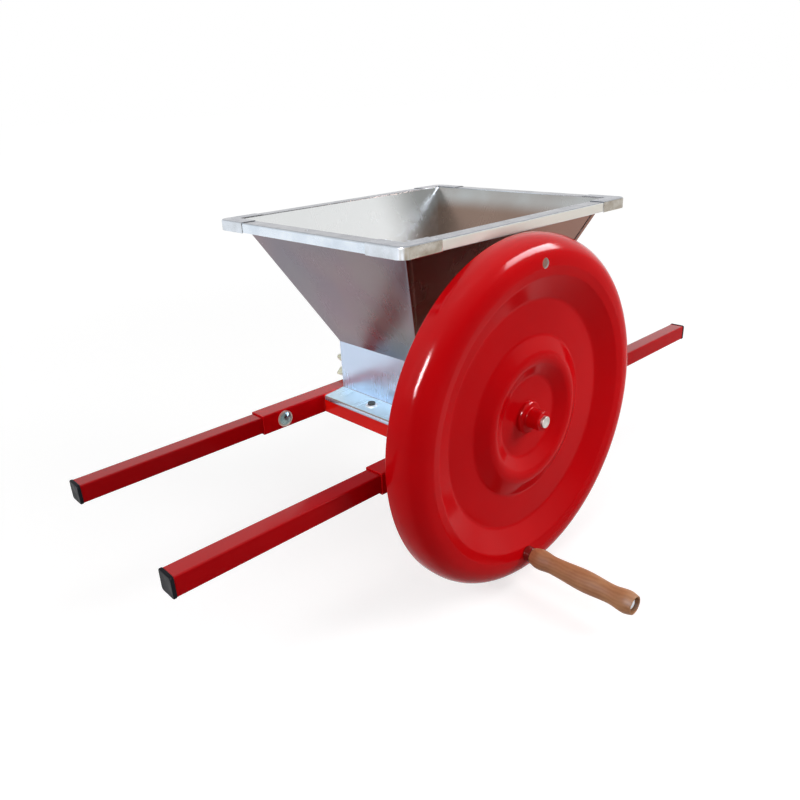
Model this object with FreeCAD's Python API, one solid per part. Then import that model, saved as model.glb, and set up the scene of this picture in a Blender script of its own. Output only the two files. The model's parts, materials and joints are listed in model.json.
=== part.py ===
import FreeCAD, Part
import math
import os

# Hand cranked grape and fruit crusher with a flywheel, in millimetres.
# +X runs along the rails, +Y runs along the roller shafts from the flywheel to the gears,
# +Z is up.  The origin is on the underside of the crank side rail, at mid length.

V = FreeCAD.Vector
X_AXIS = V(1, 0, 0)
Y_AXIS = V(0, 1, 0)
Z_AXIS = V(0, 0, 1)
NEAR = 0.01
EXTRA = 1.0
SEAT_STEPS = 6
os.makedirs("parts", exist_ok=True)

# Frame of square tube
tube = 30.0
tube_wall = 2.0
rail_spacing = 258.0
rail_length = 524.0
bar_from_throat = 25.5

# Telescopic arms
arm_side_play = 0.5
arm_wall = 2.0
arm_out_left_crank = 274.0
arm_out_left_gear = 266.0
arm_out_right = 252.0
arm_root_x = 64.0
arm_slot_inset = 16.0
arm_slot_length = 150.0
arm_slot_play = 0.5
end_cap_face = 4.0
end_cap_proud = 0.8
end_cap_plug = 14.0
end_cap_play = 0.1
end_cap_wall = 2.0
end_cap_edge = 1.2

# Arm lock bolts
lock_bolt_d = 8.0
lock_bolt_inset = 37.5
lock_head_d = 20.0
lock_head_height = 4.6
lock_washer_d = 25.0
lock_washer_thick = 1.6
lock_nut_across = 13.0
lock_nut_height = 6.5
lock_thread_past_nut = 2.5
bolt_hole_play = 0.25

# Hopper of folded sheet
sheet = 1.0
hopper_top = 300.0
rim_length = 460.0
rim_width = 384.0
rim_flange = 22.8
rim_drop = 13.5
rim_hem = 7.0
rim_bend_radius = 2.5
rim_hem_radius = 1.4
rim_hole_d = 5.0
rim_hole_from_mouth = 7.6
throat_length = 217.0
throat_width = 168.0
throat_top = 107.5
throat_bottom = 4.0
throat_to_rail = 1.0
lap_top = 10.0
lap_bottom = 2.5
foot_flange_taper = 7.0
foot_lip = 7.0
foot_lip_to_bar = 2.5
corner_cap_leg = 62.0
corner_cap_radius = 15.0
corner_cap_sheet = 0.8
corner_cap_hang = 0.6
strip_end_gap = 0.2
guide_below_bend = 1.0
guide_leg = 16.0
guide_drop = 34.0
guide_bend_radius = 2.0
guide_to_roller = 3.0
guide_end_gap = 0.5

# Bolts that hold the hopper to the cross bars
foot_bolt_d = 6.0
foot_bolt_inboard = 3.0
foot_bolt_off_middle = 6.0
foot_bolt_across = 10.0
foot_bolt_head = 4.0
foot_bolt_length = 14.0
foot_washer_d = 18.0
foot_washer_thick = 1.6
foot_nut_height = 5.0

# Shafts, bearings and bushes
shaft_d = 16.0
shaft_spacing = 80.0
shaft_above_rail = 16.0
running_fit = 0.05
bush_fit = 0.08
seat_fit = 0.03
block_length = 40.0
block_width = 24.0
block_height = 32.0
block_corner = 8.0
block_screw_d = 5.0
block_screw_spacing = 28.0
block_screw_across = 8.0
block_screw_head = 3.5
block_pocket_play = 2.0
bush_spigot_d = 24.0
bush_flange_d = 30.0
bush_flange = 3.0
driven_shaft_past_block = 4.0

# Lobed rollers
roller_mean_gap = 10.0
roller_lobe = 4.0
roller_lobes = 5
points_per_lobe = 8
roller_phase_deg = 18.0
roller_end_gap = 0.6

# Gears
gear_teeth = 10
gear_pressure_deg = 29.0
gear_addendum_ratio = 0.875
gear_dedendum_ratio = 1.025
gear_backlash = 0.9
gear_width = 12.0
flank_points = 7
gear_phase_deg = 12.0
gear_to_rail = 2.0
shaft_flat_depth = 1.5
end_washer_d = 24.0
end_washer_thick = 2.0
end_bolt_d = 8.0
end_bolt_across = 13.0
end_bolt_head = 5.3
end_bolt_length = 18.0
end_bolt_hole_spare = 4.0

# Flywheel, pressed from sheet
wheel_sheet = 2.0
wheel_r = 243.0
wheel_to_rim = 9.0
wheel_depth = 42.5
wheel_rim_radius = 33.0
wheel_hem = 6.0
wheel_hem_radius = 2.9
wheel_rim_band = 50.5
wheel_step_run = 32.5
wheel_step_outer_depth = 2.5
wheel_land_run = 12.0
wheel_plate_depth = 20.0
wheel_bead_outer_r = 113.0
wheel_bead_r = 84.0
wheel_bead_height = 15.0
wheel_bead_inner_r = 57.0
wheel_centre_depth = 21.0
wheel_hole_play = 0.3
wheel_press_radius = 14.0
wheel_bead_radius = 22.0
hub_d = 28.0
hub_front = 26.5
hub_collar_d = 46.0
hub_collar = 7.0
hub_collar_radius = 5.0
shaft_past_hub = 4.0
hub_screw_d = 6.0
hub_screw_from_plate = 16.0
hub_screw_sunk = 0.5
hub_screw_socket = 3.0
hub_screw_socket_depth = 2.0
back_plate_d = 70.0
back_plate = 3.0
spacer_d = 24.0
spacer_play = 0.1
spacer_to_block = 1.0

# Crank handle on the flywheel
crank_from_edge = 40.5
crank_swing_deg = 5.2
crank_hole_d = 13.0
spare_hole_from_edge = 32.5
crank_boss_d = 22.0
crank_boss = 8.0
crank_boss_weld = 1.6
crank_bolt_d = 10.0
crank_bolt_head_d = 16.0
crank_bolt_head = 6.0
crank_bolt_head_edge = 1.5
crank_washer_d = 20.0
crank_washer = 1.5
crank_washer_play = 0.25
crank_washer_seat_gap = 0.05
crank_nut_across = 16.0
crank_nut_height = 8.0
crank_thread_past_nut = 3.0
grip_length = 158.5
grip_play = 0.5
grip_bore_fit = 0.10
grip_recess_d = 22.0
grip_recess = 12.0
grip_base_r = 11.6
grip_bulge_r = 14.5
grip_waist_r = 12.5
grip_swell_r = 15.0
grip_neck_r = 12.9
grip_end_r = 15.4
grip_tip_r = 13.0
grip_bulge_share = 0.09
grip_waist_share = 0.22
grip_swell_share = 0.54
grip_neck_share = 0.79
grip_end_share = 0.93

# Places worked out from the sizes above
rail_ys = {"crank": 0.0, "gear": rail_spacing}
shaft_xs = {"drive": -shaft_spacing / 2, "driven": shaft_spacing / 2}
shaft_height = tube + shaft_above_rail
arm_tube = tube - 2 * tube_wall - 2 * arm_side_play
arm_length = rail_length / 2 + arm_out_right - arm_root_x
throat_y_max = rail_spacing - tube / 2 - throat_to_rail - sheet
throat_y_min = throat_y_max - throat_width
hopper_y = (throat_y_max + throat_y_min) / 2
rim_under = hopper_top - sheet
mouth_half_x = rim_length / 2 - rim_flange
mouth_half_y = rim_width / 2 - rim_flange
throat_half_x = throat_length / 2
throat_half_y = throat_width / 2
bar_centre_x = throat_half_x + bar_from_throat
foot_bolt_x = bar_centre_x - foot_bolt_inboard
foot_bolt_y = hopper_y - foot_bolt_off_middle
foot_front_x = bar_centre_x + tube / 2 + foot_lip_to_bar + sheet
roller_mean_r = (shaft_spacing - roller_mean_gap) / 2
roller_y0 = throat_y_min + bush_flange + roller_end_gap
roller_y1 = throat_y_max - bush_flange - roller_end_gap
gear_y0 = rail_spacing + tube / 2 + gear_to_rail
gear_y1 = gear_y0 + gear_width
gear_module = shaft_spacing / gear_teeth
wheel_front_y = hopper_y - rim_width / 2 - wheel_to_rim - wheel_depth
wheel_step_outer_r = wheel_r - wheel_rim_band
wheel_step_inner_r = wheel_step_outer_r - wheel_step_run
crank_r = wheel_r - crank_from_edge
plate_y = wheel_front_y + wheel_centre_depth
hub_end_y = plate_y - hub_front
shaft_tip_y = hub_end_y - shaft_past_hub
crank_x = shaft_xs["drive"] - crank_r * math.sin(math.radians(crank_swing_deg))
crank_z = shaft_height - crank_r * math.cos(math.radians(crank_swing_deg))
spare_hole_z = shaft_height + wheel_r - spare_hole_from_edge
boss_y = wheel_front_y - crank_boss
grip_y0 = boss_y - grip_play
grip_y1 = grip_y0 - grip_length


def box(x0, x1, y0, y1, z0, z1):
    corner = V(min(x0, x1), min(y0, y1), min(z0, z1))
    return Part.makeBox(abs(x1 - x0), abs(y1 - y0), abs(z1 - z0), corner)


def rod_y(x, z, d, y0, y1):
    return Part.makeCylinder(d / 2, abs(y1 - y0), V(x, min(y0, y1), z), Y_AXIS)


def rod_z(x, y, d, z0, z1):
    return Part.makeCylinder(d / 2, abs(z1 - z0), V(x, y, min(z0, z1)), Z_AXIS)


def hexagon_prism(across, height, centre, axis):
    """Hexagonal prism from centre along axis (+-Y or +Z)."""
    reach = across / math.sqrt(3.0)
    corners = []
    for step in range(7):
        angle = math.radians(60 * step + 30)
        u = reach * math.cos(angle)
        w = reach * math.sin(angle)
        offset = V(u, w, 0) if abs(axis.z) > 0.5 else V(u, 0, w)
        corners.append(centre + offset)
    return Part.Face(Part.makePolygon(corners)).extrude(axis * height)


def prism_y(face_xz, y0, y1):
    """Extrude a face drawn in the XZ plane at y = 0 from y0 to y1."""
    moved = face_xz.copy()
    moved.translate(V(0, y0, 0))
    return moved.extrude(V(0, y1 - y0, 0))


def rounded_path(corners):
    """Edges through (u, w, radius) corners in the XZ plane, straight runs joined by tangent arcs."""
    points = [V(u, 0, w) for u, w, radius in corners]
    edges = []
    last = points[0]
    for i in range(1, len(points) - 1):
        radius = corners[i][2]
        before = (points[i - 1] - points[i]).normalize()
        after = (points[i + 1] - points[i]).normalize()
        half = before.getAngle(after) / 2
        reach = radius / math.tan(half)
        start = points[i] + before * reach
        end = points[i] + after * reach
        inward = (before + after).normalize()
        middle = points[i] + inward * (radius / math.sin(half) - radius)
        edges.append(Part.LineSegment(last, start).toShape())
        edges.append(Part.Arc(start, middle, end).toShape())
        last = end
    edges.append(Part.LineSegment(last, points[-1]).toShape())
    return edges


def parallel_corners(corners, thick):
    """The same path moved thick to its left, with its bend radii grown or shrunk to match."""
    moved = []
    for i, (u, w, radius) in enumerate(corners):
        near = corners[max(i - 1, 0)]
        far = corners[min(i + 1, len(corners) - 1)]
        into = V(u - near[0], 0, w - near[1]) if i > 0 else V(far[0] - u, 0, far[1] - w)
        out = V(far[0] - u, 0, far[1] - w) if i < len(corners) - 1 else into
        into = V(into).normalize()
        out = V(out).normalize()
        share = thick / (1 + into.dot(out))
        left = (V(-into.z, 0, into.x) + V(-out.z, 0, out.x)) * share
        turn = into.x * out.z - into.z * out.x
        bend = radius - math.copysign(1, turn) * thick
        moved.append((u + left.x, w + left.z, bend))
    return moved


def folded_sheet(corners, thick):
    """Face of a folded sheet: one side follows the corners, the other lies thick to the left."""
    front = rounded_path(corners)
    other = parallel_corners(corners, thick)
    back = rounded_path(other)
    ends = []
    for i in (0, -1):
        here = V(corners[i][0], 0, corners[i][1])
        there = V(other[i][0], 0, other[i][1])
        ends.append(Part.LineSegment(here, there).toShape())
    return Part.Face(Part.Wire(Part.__sortEdges__(front + back + ends)))


def slab(bottom, top, z0, z1):
    """Solid between two polygons of matching, parallel sides at z0 and z1."""
    low = [V(x, y, z0) for x, y in bottom]
    high = [V(x, y, z1) for x, y in top]
    count = len(low)
    faces = [Part.Face(Part.makePolygon(low + low[:1])), Part.Face(Part.makePolygon(high + high[:1]))]
    for i in range(count):
        j = (i + 1) % count
        side = [low[i], low[j], high[j], high[i], low[i]]
        faces.append(Part.Face(Part.makePolygon(side)))
    solid = Part.Solid(Part.Shell(faces))
    if solid.Volume < 0:
        solid.reverse()
    return solid


def rectangle(x0, x1, y0, y1):
    return [(x0, y0), (x1, y0), (x1, y1), (x0, y1)]


def save(name, shape):
    shape.exportStep("parts/" + name + ".step")


# ---------------------------------------------------------------- frame
def rail(y):
    half = rail_length / 2
    side = tube / 2
    inner = side - tube_wall
    body = box(-half, half, y - side, y + side, 0, tube)
    body = body.cut(box(-half, half, y - inner, y + inner, tube_wall, tube - tube_wall))
    lock_x = half - lock_bolt_inset
    for x in (-lock_x, lock_x):
        body = body.cut(rod_y(x, tube / 2, lock_bolt_d + 2 * bolt_hole_play, y - tube, y + tube))
    for shaft_x in shaft_xs.values():
        for x in (shaft_x - block_screw_spacing / 2, shaft_x + block_screw_spacing / 2):
            body = body.cut(rod_z(x, y, block_screw_d, tube - 2 * tube_wall, tube + EXTRA))
    return body


def cross_bar(side):
    x = side * bar_centre_x
    half = tube / 2
    inner = half - tube_wall
    y0 = tube / 2
    y1 = rail_spacing - tube / 2
    body = box(x - half, x + half, y0, y1, 0, tube)
    body = body.cut(box(x - inner, x + inner, y0, y1, tube_wall, tube - tube_wall))
    hole = rod_z(side * foot_bolt_x, foot_bolt_y, foot_bolt_d + 2 * bolt_hole_play, tube / 2, tube + EXTRA)
    return body.cut(hole)


for side_name, rail_y in rail_ys.items():
    save("rail_" + side_name + "_side", rail(rail_y))
save("cross_bar_left", cross_bar(-1))
save("cross_bar_right", cross_bar(1))


# ---------------------------------------------------------------- arms
def arm(side, y, reach):
    """Square tube arm that stands out of the rail end by reach; its slot is hidden in the rail."""
    tip = side * (rail_length / 2 + reach)
    root = tip - side * arm_length
    half = arm_tube / 2
    inner = half - arm_wall
    middle = tube / 2
    body = box(root, tip, y - half, y + half, middle - half, middle + half)
    body = body.cut(box(root, tip, y - inner, y + inner, middle - inner, middle + inner))
    slot_half = lock_bolt_d / 2 + arm_slot_play
    first = root + side * (arm_slot_inset + slot_half)
    last = root + side * (arm_slot_inset + arm_slot_length - slot_half)
    slot = box(first, last, y - tube, y + tube, middle - slot_half, middle + slot_half)
    for x in (first, last):
        slot = slot.fuse(rod_y(x, middle, 2 * slot_half, y - tube, y + tube))
    return body.cut(slot)


def end_cap(side, y, reach):
    """Moulded plug with a flat face, pushed into the open end of an arm."""
    tip = side * (rail_length / 2 + reach)
    half = arm_tube / 2 + end_cap_proud
    middle = tube / 2
    face = box(tip, tip + side * end_cap_face, y - half, y + half, middle - half, middle + half)
    outer_edges = []
    for edge in face.Edges:
        at = edge.BoundBox
        if abs(at.XMin - (tip + side * end_cap_face)) < NEAR and abs(at.XMax - at.XMin) < NEAR:
            outer_edges.append(edge)
    face = face.makeFillet(end_cap_edge, outer_edges)
    plug_half = arm_tube / 2 - arm_wall - end_cap_play
    hollow_half = plug_half - end_cap_wall
    back = tip - side * end_cap_plug
    plug = box(back, tip, y - plug_half, y + plug_half, middle - plug_half, middle + plug_half)
    hollow = box(back, tip, y - hollow_half, y + hollow_half, middle - hollow_half, middle + hollow_half)
    return face.fuse(plug.cut(hollow)).removeSplitter()


arm_list = [
    ("left_crank", -1, rail_ys["crank"], arm_out_left_crank),
    ("left_gear", -1, rail_ys["gear"], arm_out_left_gear),
    ("right_crank", 1, rail_ys["crank"], arm_out_right),
    ("right_gear", 1, rail_ys["gear"], arm_out_right),
]
for arm_name, side, y, reach in arm_list:
    save("arm_" + arm_name, arm(side, y, reach))
    save("end_cap_" + arm_name, end_cap(side, y, reach))


# ---------------------------------------------------------------- arm lock bolts
def lock_set(x, y, inner_side):
    """Round head bolt, two washers and a nut; the head is on the face towards the hopper."""
    z = tube / 2
    face_in = y + inner_side * tube / 2
    face_out = y - inner_side * tube / 2
    head_y = face_in + inner_side * lock_washer_thick
    nut_y = face_out - inner_side * lock_washer_thick
    end_y = nut_y - inner_side * (lock_nut_height + lock_thread_past_nut)
    ball_r = (lock_head_d ** 2 / 4 + lock_head_height ** 2) / (2 * lock_head_height)
    ball_y = head_y + inner_side * (lock_head_height - ball_r)
    ball = Part.makeSphere(ball_r, V(x, ball_y, z))
    cap_far = head_y + inner_side * 2 * ball_r
    head = ball.common(box(x - ball_r, x + ball_r, head_y, cap_far, z - ball_r, z + ball_r))
    bolt = head.fuse(rod_y(x, z, lock_bolt_d, head_y, end_y)).removeSplitter()
    hole_d = lock_bolt_d + 2 * bolt_hole_play
    washers = []
    for near, far in ((face_in, head_y), (face_out, nut_y)):
        washer = rod_y(x, z, lock_washer_d, near, far).cut(rod_y(x, z, hole_d, near, far))
        washers.append(washer)
    axis = Y_AXIS * (-inner_side)
    nut = hexagon_prism(lock_nut_across, lock_nut_height, V(x, nut_y, z), axis)
    nut = nut.cut(rod_y(x, z, lock_bolt_d, nut_y - lock_nut_height, nut_y + lock_nut_height))
    return bolt, washers, nut


lock_bolts = []
lock_washers = []
lock_nuts = []
for rail_y, inner_side in ((rail_ys["crank"], 1), (rail_ys["gear"], -1)):
    for side in (-1, 1):
        lock_x = side * (rail_length / 2 - lock_bolt_inset)
        bolt, washers, nut = lock_set(lock_x, rail_y, inner_side)
        lock_bolts.append(bolt)
        lock_washers.extend(washers)
        lock_nuts.append(nut)
save("arm_lock_bolts", Part.Compound(lock_bolts))
save("arm_lock_washers", Part.Compound(lock_washers))
save("arm_lock_nuts", Part.Compound(lock_nuts))


# ---------------------------------------------------------------- hopper
def end_panel(side):
    """Panel across the left or right end: slope with corner laps, throat wall, foot flange and lip."""
    t = sheet
    low = rectangle(side * throat_half_x, side * (throat_half_x + t),
                    hopper_y - throat_half_y - 2 * t, hopper_y + throat_half_y + 2 * t)
    high = rectangle(side * mouth_half_x, side * (mouth_half_x + t),
                     hopper_y - mouth_half_y - 2 * t, hopper_y + mouth_half_y + 2 * t)
    body = slab(low, high, throat_top, rim_under)
    for way in (-1, 1):
        low_y = hopper_y + way * (throat_half_y + t)
        high_y = hopper_y + way * (mouth_half_y + t)
        low_x = side * throat_half_x
        high_x = side * mouth_half_x
        lap_low = rectangle(low_x - side * lap_bottom, low_x, low_y, low_y + way * t)
        lap_high = rectangle(high_x - side * lap_top, high_x, high_y, high_y + way * t)
        body = body.fuse(slab(lap_low, lap_high, throat_top, rim_under))
    wall_x = side * throat_half_x
    y0 = throat_y_min - t
    y1 = throat_y_max + t
    wall = box(wall_x, wall_x + side * t, y0, y1, tube, throat_top)
    front = side * foot_front_x
    front_y0 = y0 + foot_flange_taper
    front_y1 = y1 - foot_flange_taper
    outline = [(wall_x, y0), (front, front_y0), (front, front_y1), (wall_x, y1)]
    flange = slab(outline, outline, tube, tube + t)
    hole_d = foot_bolt_d + 2 * bolt_hole_play
    hole = rod_z(side * foot_bolt_x, foot_bolt_y, hole_d, tube - EXTRA, tube + 2 * t)
    lip = box(front, front - side * t, front_y0, front_y1, tube + t - foot_lip, tube + t)
    return body.fuse([wall, flange.cut(hole), lip]).removeSplitter()


def side_panel(way):
    """Panel along the crank side or gear side: slope and throat wall with the bush holes."""
    t = sheet
    low_y = hopper_y + way * throat_half_y
    high_y = hopper_y + way * mouth_half_y
    low = rectangle(-throat_half_x, throat_half_x, low_y, low_y + way * t)
    high = rectangle(-mouth_half_x, mouth_half_x, high_y, high_y + way * t)
    slope = slab(low, high, throat_top, rim_under)
    wall = box(-throat_half_x, throat_half_x, low_y, low_y + way * t, throat_bottom, throat_top)
    body = slope.fuse(wall)
    for x in shaft_xs.values():
        body = body.cut(rod_y(x, shaft_height, bush_spigot_d + 2 * seat_fit, low_y - t, low_y + 2 * t))
    return body.removeSplitter()


save("hopper_panel_left", end_panel(-1))
save("hopper_panel_right", end_panel(1))
save("hopper_panel_crank_side", side_panel(-1))
save("hopper_panel_gear_side", side_panel(1))


def throat_guide(side):
    """Folded plate on the end wall that leads the fruit onto the roller."""
    wall = throat_half_x
    top = throat_top - guide_below_bend
    fold = top - guide_leg
    foot = shaft_spacing / 2 + roller_mean_r + roller_lobe + guide_to_roller
    corners = [(wall, top, 0), (wall, fold, guide_bend_radius), (foot, fold - guide_drop, 0)]
    section = folded_sheet(corners, -sheet)
    plate = prism_y(section, throat_y_min + guide_end_gap, throat_y_max - guide_end_gap)
    if side < 0:
        plate = plate.mirror(V(0, 0, 0), X_AXIS)
    return plate


save("throat_guide_left", throat_guide(-1))
save("throat_guide_right", throat_guide(1))


def rim_section():
    """Folded rim in its own plane: u runs outwards from the mouth, w is height."""
    bottom = hopper_top - rim_drop
    corners = [
        (0, hopper_top, 0),
        (rim_flange, hopper_top, rim_bend_radius),
        (rim_flange, bottom, rim_hem_radius),
        (rim_flange - rim_hem, bottom, 0),
    ]
    return folded_sheet(corners, -sheet)


def rim_strip(length, outward, centre_y, reach):
    """Strip with the rim section, centred on the hopper, its flange starting at reach."""
    run = length - 2 * (rim_flange + strip_end_gap)
    strip = prism_y(rim_section(), -run / 2, run / 2)
    strip.translate(V(reach, 0, 0))
    strip.rotate(V(0, 0, 0), Z_AXIS, outward)
    strip.translate(V(0, centre_y, 0))
    return strip


def rim_hole(strip, x):
    return strip.cut(rod_z(x, hopper_y, rim_hole_d, hopper_top - 2 * sheet, hopper_top + EXTRA))


rim_hole_x = mouth_half_x + rim_hole_from_mouth
save("rim_strip_right", rim_hole(rim_strip(rim_width, 0, hopper_y, mouth_half_x), rim_hole_x))
save("rim_strip_left", rim_hole(rim_strip(rim_width, 180, hopper_y, mouth_half_x), -rim_hole_x))
save("rim_strip_gear_side", rim_strip(rim_length, 90, hopper_y, mouth_half_y))
save("rim_strip_crank_side", rim_strip(rim_length, -90, hopper_y, mouth_half_y))


def rounded_corner_block(outer, leg, radius, top_radius, z0, z1):
    """Block back from the corner (outer, outer), that corner and the top edges around it rounded."""
    body = box(outer - leg, outer, outer - leg, outer, z0, z1)
    upright = []
    for edge in body.Edges:
        at = edge.BoundBox
        if abs(at.XMin - outer) < NEAR and abs(at.YMin - outer) < NEAR:
            upright.append(edge)
    body = body.makeFillet(radius, upright)
    top_edges = []
    for edge in body.Edges:
        at = edge.BoundBox
        near_corner = at.XMax > outer - radius - NEAR and at.YMax > outer - radius - NEAR
        if abs(at.ZMin - z1) < NEAR and near_corner:
            top_edges.append(edge)
    return body.makeFillet(top_radius, top_edges)


def corner_cap(side, way):
    """L shaped cap that wraps the rim corner; drawn at the corner (0, 0) and then placed."""
    t = corner_cap_sheet
    leg = corner_cap_leg
    top = hopper_top + t
    bottom = hopper_top - rim_drop - corner_cap_hang
    shell = rounded_corner_block(t, leg + t, corner_cap_radius, rim_bend_radius, bottom, top)
    inside = rounded_corner_block(0, leg + EXTRA, corner_cap_radius - t, rim_bend_radius - t,
                                  bottom - EXTRA, hopper_top)
    far = -leg - EXTRA
    open_mouth = box(far, -rim_flange, far, -rim_flange, bottom - EXTRA, top + EXTRA)
    shell = shell.cut(inside).cut(open_mouth)
    shell.rotate(V(0, 0, 0), Z_AXIS, quarter_turns[(side, way)])
    shell.translate(V(side * rim_length / 2, hopper_y + way * rim_width / 2, 0))
    return shell


quarter_turns = {(1, 1): 0, (-1, 1): 90, (-1, -1): 180, (1, -1): 270}
corner_names = {(1, 1): "right_gear", (-1, 1): "left_gear", (-1, -1): "left_crank", (1, -1): "right_crank"}
for (side, way), name in corner_names.items():
    save("rim_corner_" + name, corner_cap(side, way))

foot_bolts = []
foot_washers = []
foot_nuts = []
for side in (-1, 1):
    x = side * foot_bolt_x
    y = foot_bolt_y
    seat = tube + sheet
    head_z = seat + foot_washer_thick
    hole_d = foot_bolt_d + 2 * bolt_hole_play
    washer = rod_z(x, y, foot_washer_d, seat, head_z)
    foot_washers.append(washer.cut(rod_z(x, y, hole_d, seat, head_z)))
    head = hexagon_prism(foot_bolt_across, foot_bolt_head, V(x, y, head_z), Z_AXIS)
    shank = rod_z(x, y, foot_bolt_d, head_z - foot_bolt_length, head_z)
    foot_bolts.append(head.fuse(shank).removeSplitter())
    nut_z = tube - tube_wall - foot_nut_height
    nut = hexagon_prism(foot_bolt_across, foot_nut_height, V(x, y, nut_z), Z_AXIS)
    foot_nuts.append(nut.cut(rod_z(x, y, foot_bolt_d, nut_z, tube)))
save("foot_bolts", Part.Compound(foot_bolts))
save("foot_washers", Part.Compound(foot_washers))
save("foot_nuts", Part.Compound(foot_nuts))


# ---------------------------------------------------------------- bearings
def bearing_block(x, y):
    """Plastic block on a rail with the shaft bore and two sunk screw seats."""
    top = tube + block_height
    half_x = block_length / 2
    half_y = block_width / 2
    body = box(x - half_x, x + half_x, y - half_y, y + half_y, tube, top)
    top_edges = []
    for edge in body.Edges:
        at = edge.BoundBox
        if abs(at.ZMin - top) < NEAR and at.XMax - at.XMin < NEAR:
            top_edges.append(edge)
    body = body.makeFillet(block_corner, top_edges)
    body = body.cut(rod_y(x, shaft_height, shaft_d + 2 * running_fit, y - block_width, y + block_width))
    hole_d = block_screw_d + 2 * bolt_hole_play
    pocket_d = block_screw_across + 2 * block_pocket_play
    for way in (-1, 1):
        screw_x = x + way * block_screw_spacing / 2
        body = body.cut(rod_z(screw_x, y, hole_d, tube - EXTRA, top + EXTRA))
        body = body.cut(rod_z(screw_x, y, pocket_d, block_screw_seat, top + EXTRA))
    return body


block_screw_seat = tube + block_height - block_corner / 2
block_screws = []
for shaft_name, x in shaft_xs.items():
    for side_name, y in rail_ys.items():
        save("bearing_" + shaft_name + "_" + side_name, bearing_block(x, y))
        for way in (-1, 1):
            screw_x = x + way * block_screw_spacing / 2
            seat = V(screw_x, y, block_screw_seat)
            head = hexagon_prism(block_screw_across, block_screw_head, seat, Z_AXIS)
            shank = rod_z(screw_x, y, block_screw_d, tube - tube_wall, block_screw_seat)
            block_screws.append(head.fuse(shank).removeSplitter())
save("bearing_screws", Part.Compound(block_screws))

wall_bushes = []
for x in shaft_xs.values():
    for inner_y, way in ((throat_y_min, -1), (throat_y_max, 1)):
        flange = rod_y(x, shaft_height, bush_flange_d, inner_y - way * bush_flange, inner_y)
        spigot = rod_y(x, shaft_height, bush_spigot_d, inner_y, inner_y + way * sheet)
        bore_d = shaft_d + 2 * bush_fit
        bore = rod_y(x, shaft_height, bore_d, inner_y - 2 * bush_flange, inner_y + 2 * bush_flange)
        wall_bushes.append(flange.fuse(spigot).removeSplitter().cut(bore))
save("wall_bushes", Part.Compound(wall_bushes))


# ---------------------------------------------------------------- shafts, rollers and gears
def flat_bar(x, y0, y1, bar_d):
    """Round bar with two flats, the form of the gear seat."""
    half = bar_d / 2 - shaft_flat_depth
    slab_box = box(x - half, x + half, y0, y1, 0, 2 * shaft_height)
    return rod_y(x, shaft_height, bar_d, y0, y1).common(slab_box)


def shaft(x, y0):
    body = rod_y(x, shaft_height, shaft_d, y0, gear_y0)
    body = body.fuse(flat_bar(x, gear_y0, gear_y1 - seat_fit, shaft_d)).removeSplitter()
    tapped_end = gear_y1 - end_bolt_length - end_bolt_hole_spare
    return body.cut(rod_y(x, shaft_height, end_bolt_d, tapped_end, gear_y1 + EXTRA))


def roller(x, phase_deg):
    """Bar with rounded lobes along its whole length, pressed on the shaft."""
    points = []
    steps = points_per_lobe * roller_lobes
    for step in range(steps):
        angle = 2 * math.pi * step / steps
        r = roller_mean_r + roller_lobe * math.cos(roller_lobes * (angle - math.radians(phase_deg)))
        points.append(V(x + r * math.cos(angle), 0, shaft_height + r * math.sin(angle)))
    outline = Part.BSplineCurve()
    outline.interpolate(points, PeriodicFlag=True)
    body = prism_y(Part.Face(Part.Wire(outline.toShape())), roller_y0, roller_y1)
    bore_d = shaft_d + 2 * seat_fit
    return body.cut(rod_y(x, shaft_height, bore_d, roller_y0 - EXTRA, roller_y1 + EXTRA))


def involute_flank(pitch_r, tip_r):
    """(radius, half angle of the tooth) pairs from the base circle to the tip."""
    pressure = math.radians(gear_pressure_deg)
    base_r = pitch_r * math.cos(pressure)
    half_tooth = (math.pi * gear_module / 2 - gear_backlash / 2) / (2 * pitch_r)
    half_base = half_tooth + math.tan(pressure) - pressure
    roll_tip = math.sqrt((tip_r / base_r) ** 2 - 1)
    flank = []
    for step in range(flank_points):
        roll = roll_tip * step / (flank_points - 1)
        r = base_r * math.sqrt(1 + roll ** 2)
        flank.append((r, half_base - roll + math.atan(roll)))
    return flank


def gear(x, phase_deg):
    """Spur gear with involute flanks; one tooth points at phase_deg from +X."""
    pitch_r = gear_module * gear_teeth / 2
    tip_r = pitch_r + gear_addendum_ratio * gear_module
    root_r = pitch_r - gear_dedendum_ratio * gear_module
    flank = involute_flank(pitch_r, tip_r)
    base_r, foot_turn = flank[0]
    tip_turn = flank[-1][1]
    pitch_angle = 2 * math.pi / gear_teeth

    def place(r, angle):
        return V(x + r * math.cos(angle), 0, shaft_height + r * math.sin(angle))

    edges = []
    for tooth in range(gear_teeth):
        centre = math.radians(phase_deg) + tooth * pitch_angle
        rise = Part.BSplineCurve()
        rise.interpolate([place(r, centre - turn) for r, turn in flank])
        fall = Part.BSplineCurve()
        fall.interpolate([place(r, centre + turn) for r, turn in reversed(flank)])
        tip = [place(tip_r, centre + turn) for turn in (-tip_turn, 0, tip_turn)]
        foot_in = place(base_r, centre - foot_turn)
        foot_out = place(base_r, centre + foot_turn)
        root_in = place(root_r, centre - foot_turn)
        root_out = place(root_r, centre + foot_turn)
        gap_middle = place(root_r, centre + pitch_angle / 2)
        next_in = place(root_r, centre + pitch_angle - foot_turn)
        edges.append(Part.LineSegment(root_in, foot_in).toShape())
        edges.append(rise.toShape())
        edges.append(Part.Arc(*tip).toShape())
        edges.append(fall.toShape())
        edges.append(Part.LineSegment(foot_out, root_out).toShape())
        edges.append(Part.Arc(root_out, gap_middle, next_in).toShape())
    body = prism_y(Part.Face(Part.Wire(Part.__sortEdges__(edges))), gear_y0, gear_y1)
    return body.cut(flat_bar(x, gear_y0 - EXTRA, gear_y1 + EXTRA, shaft_d + 2 * seat_fit))


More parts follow.
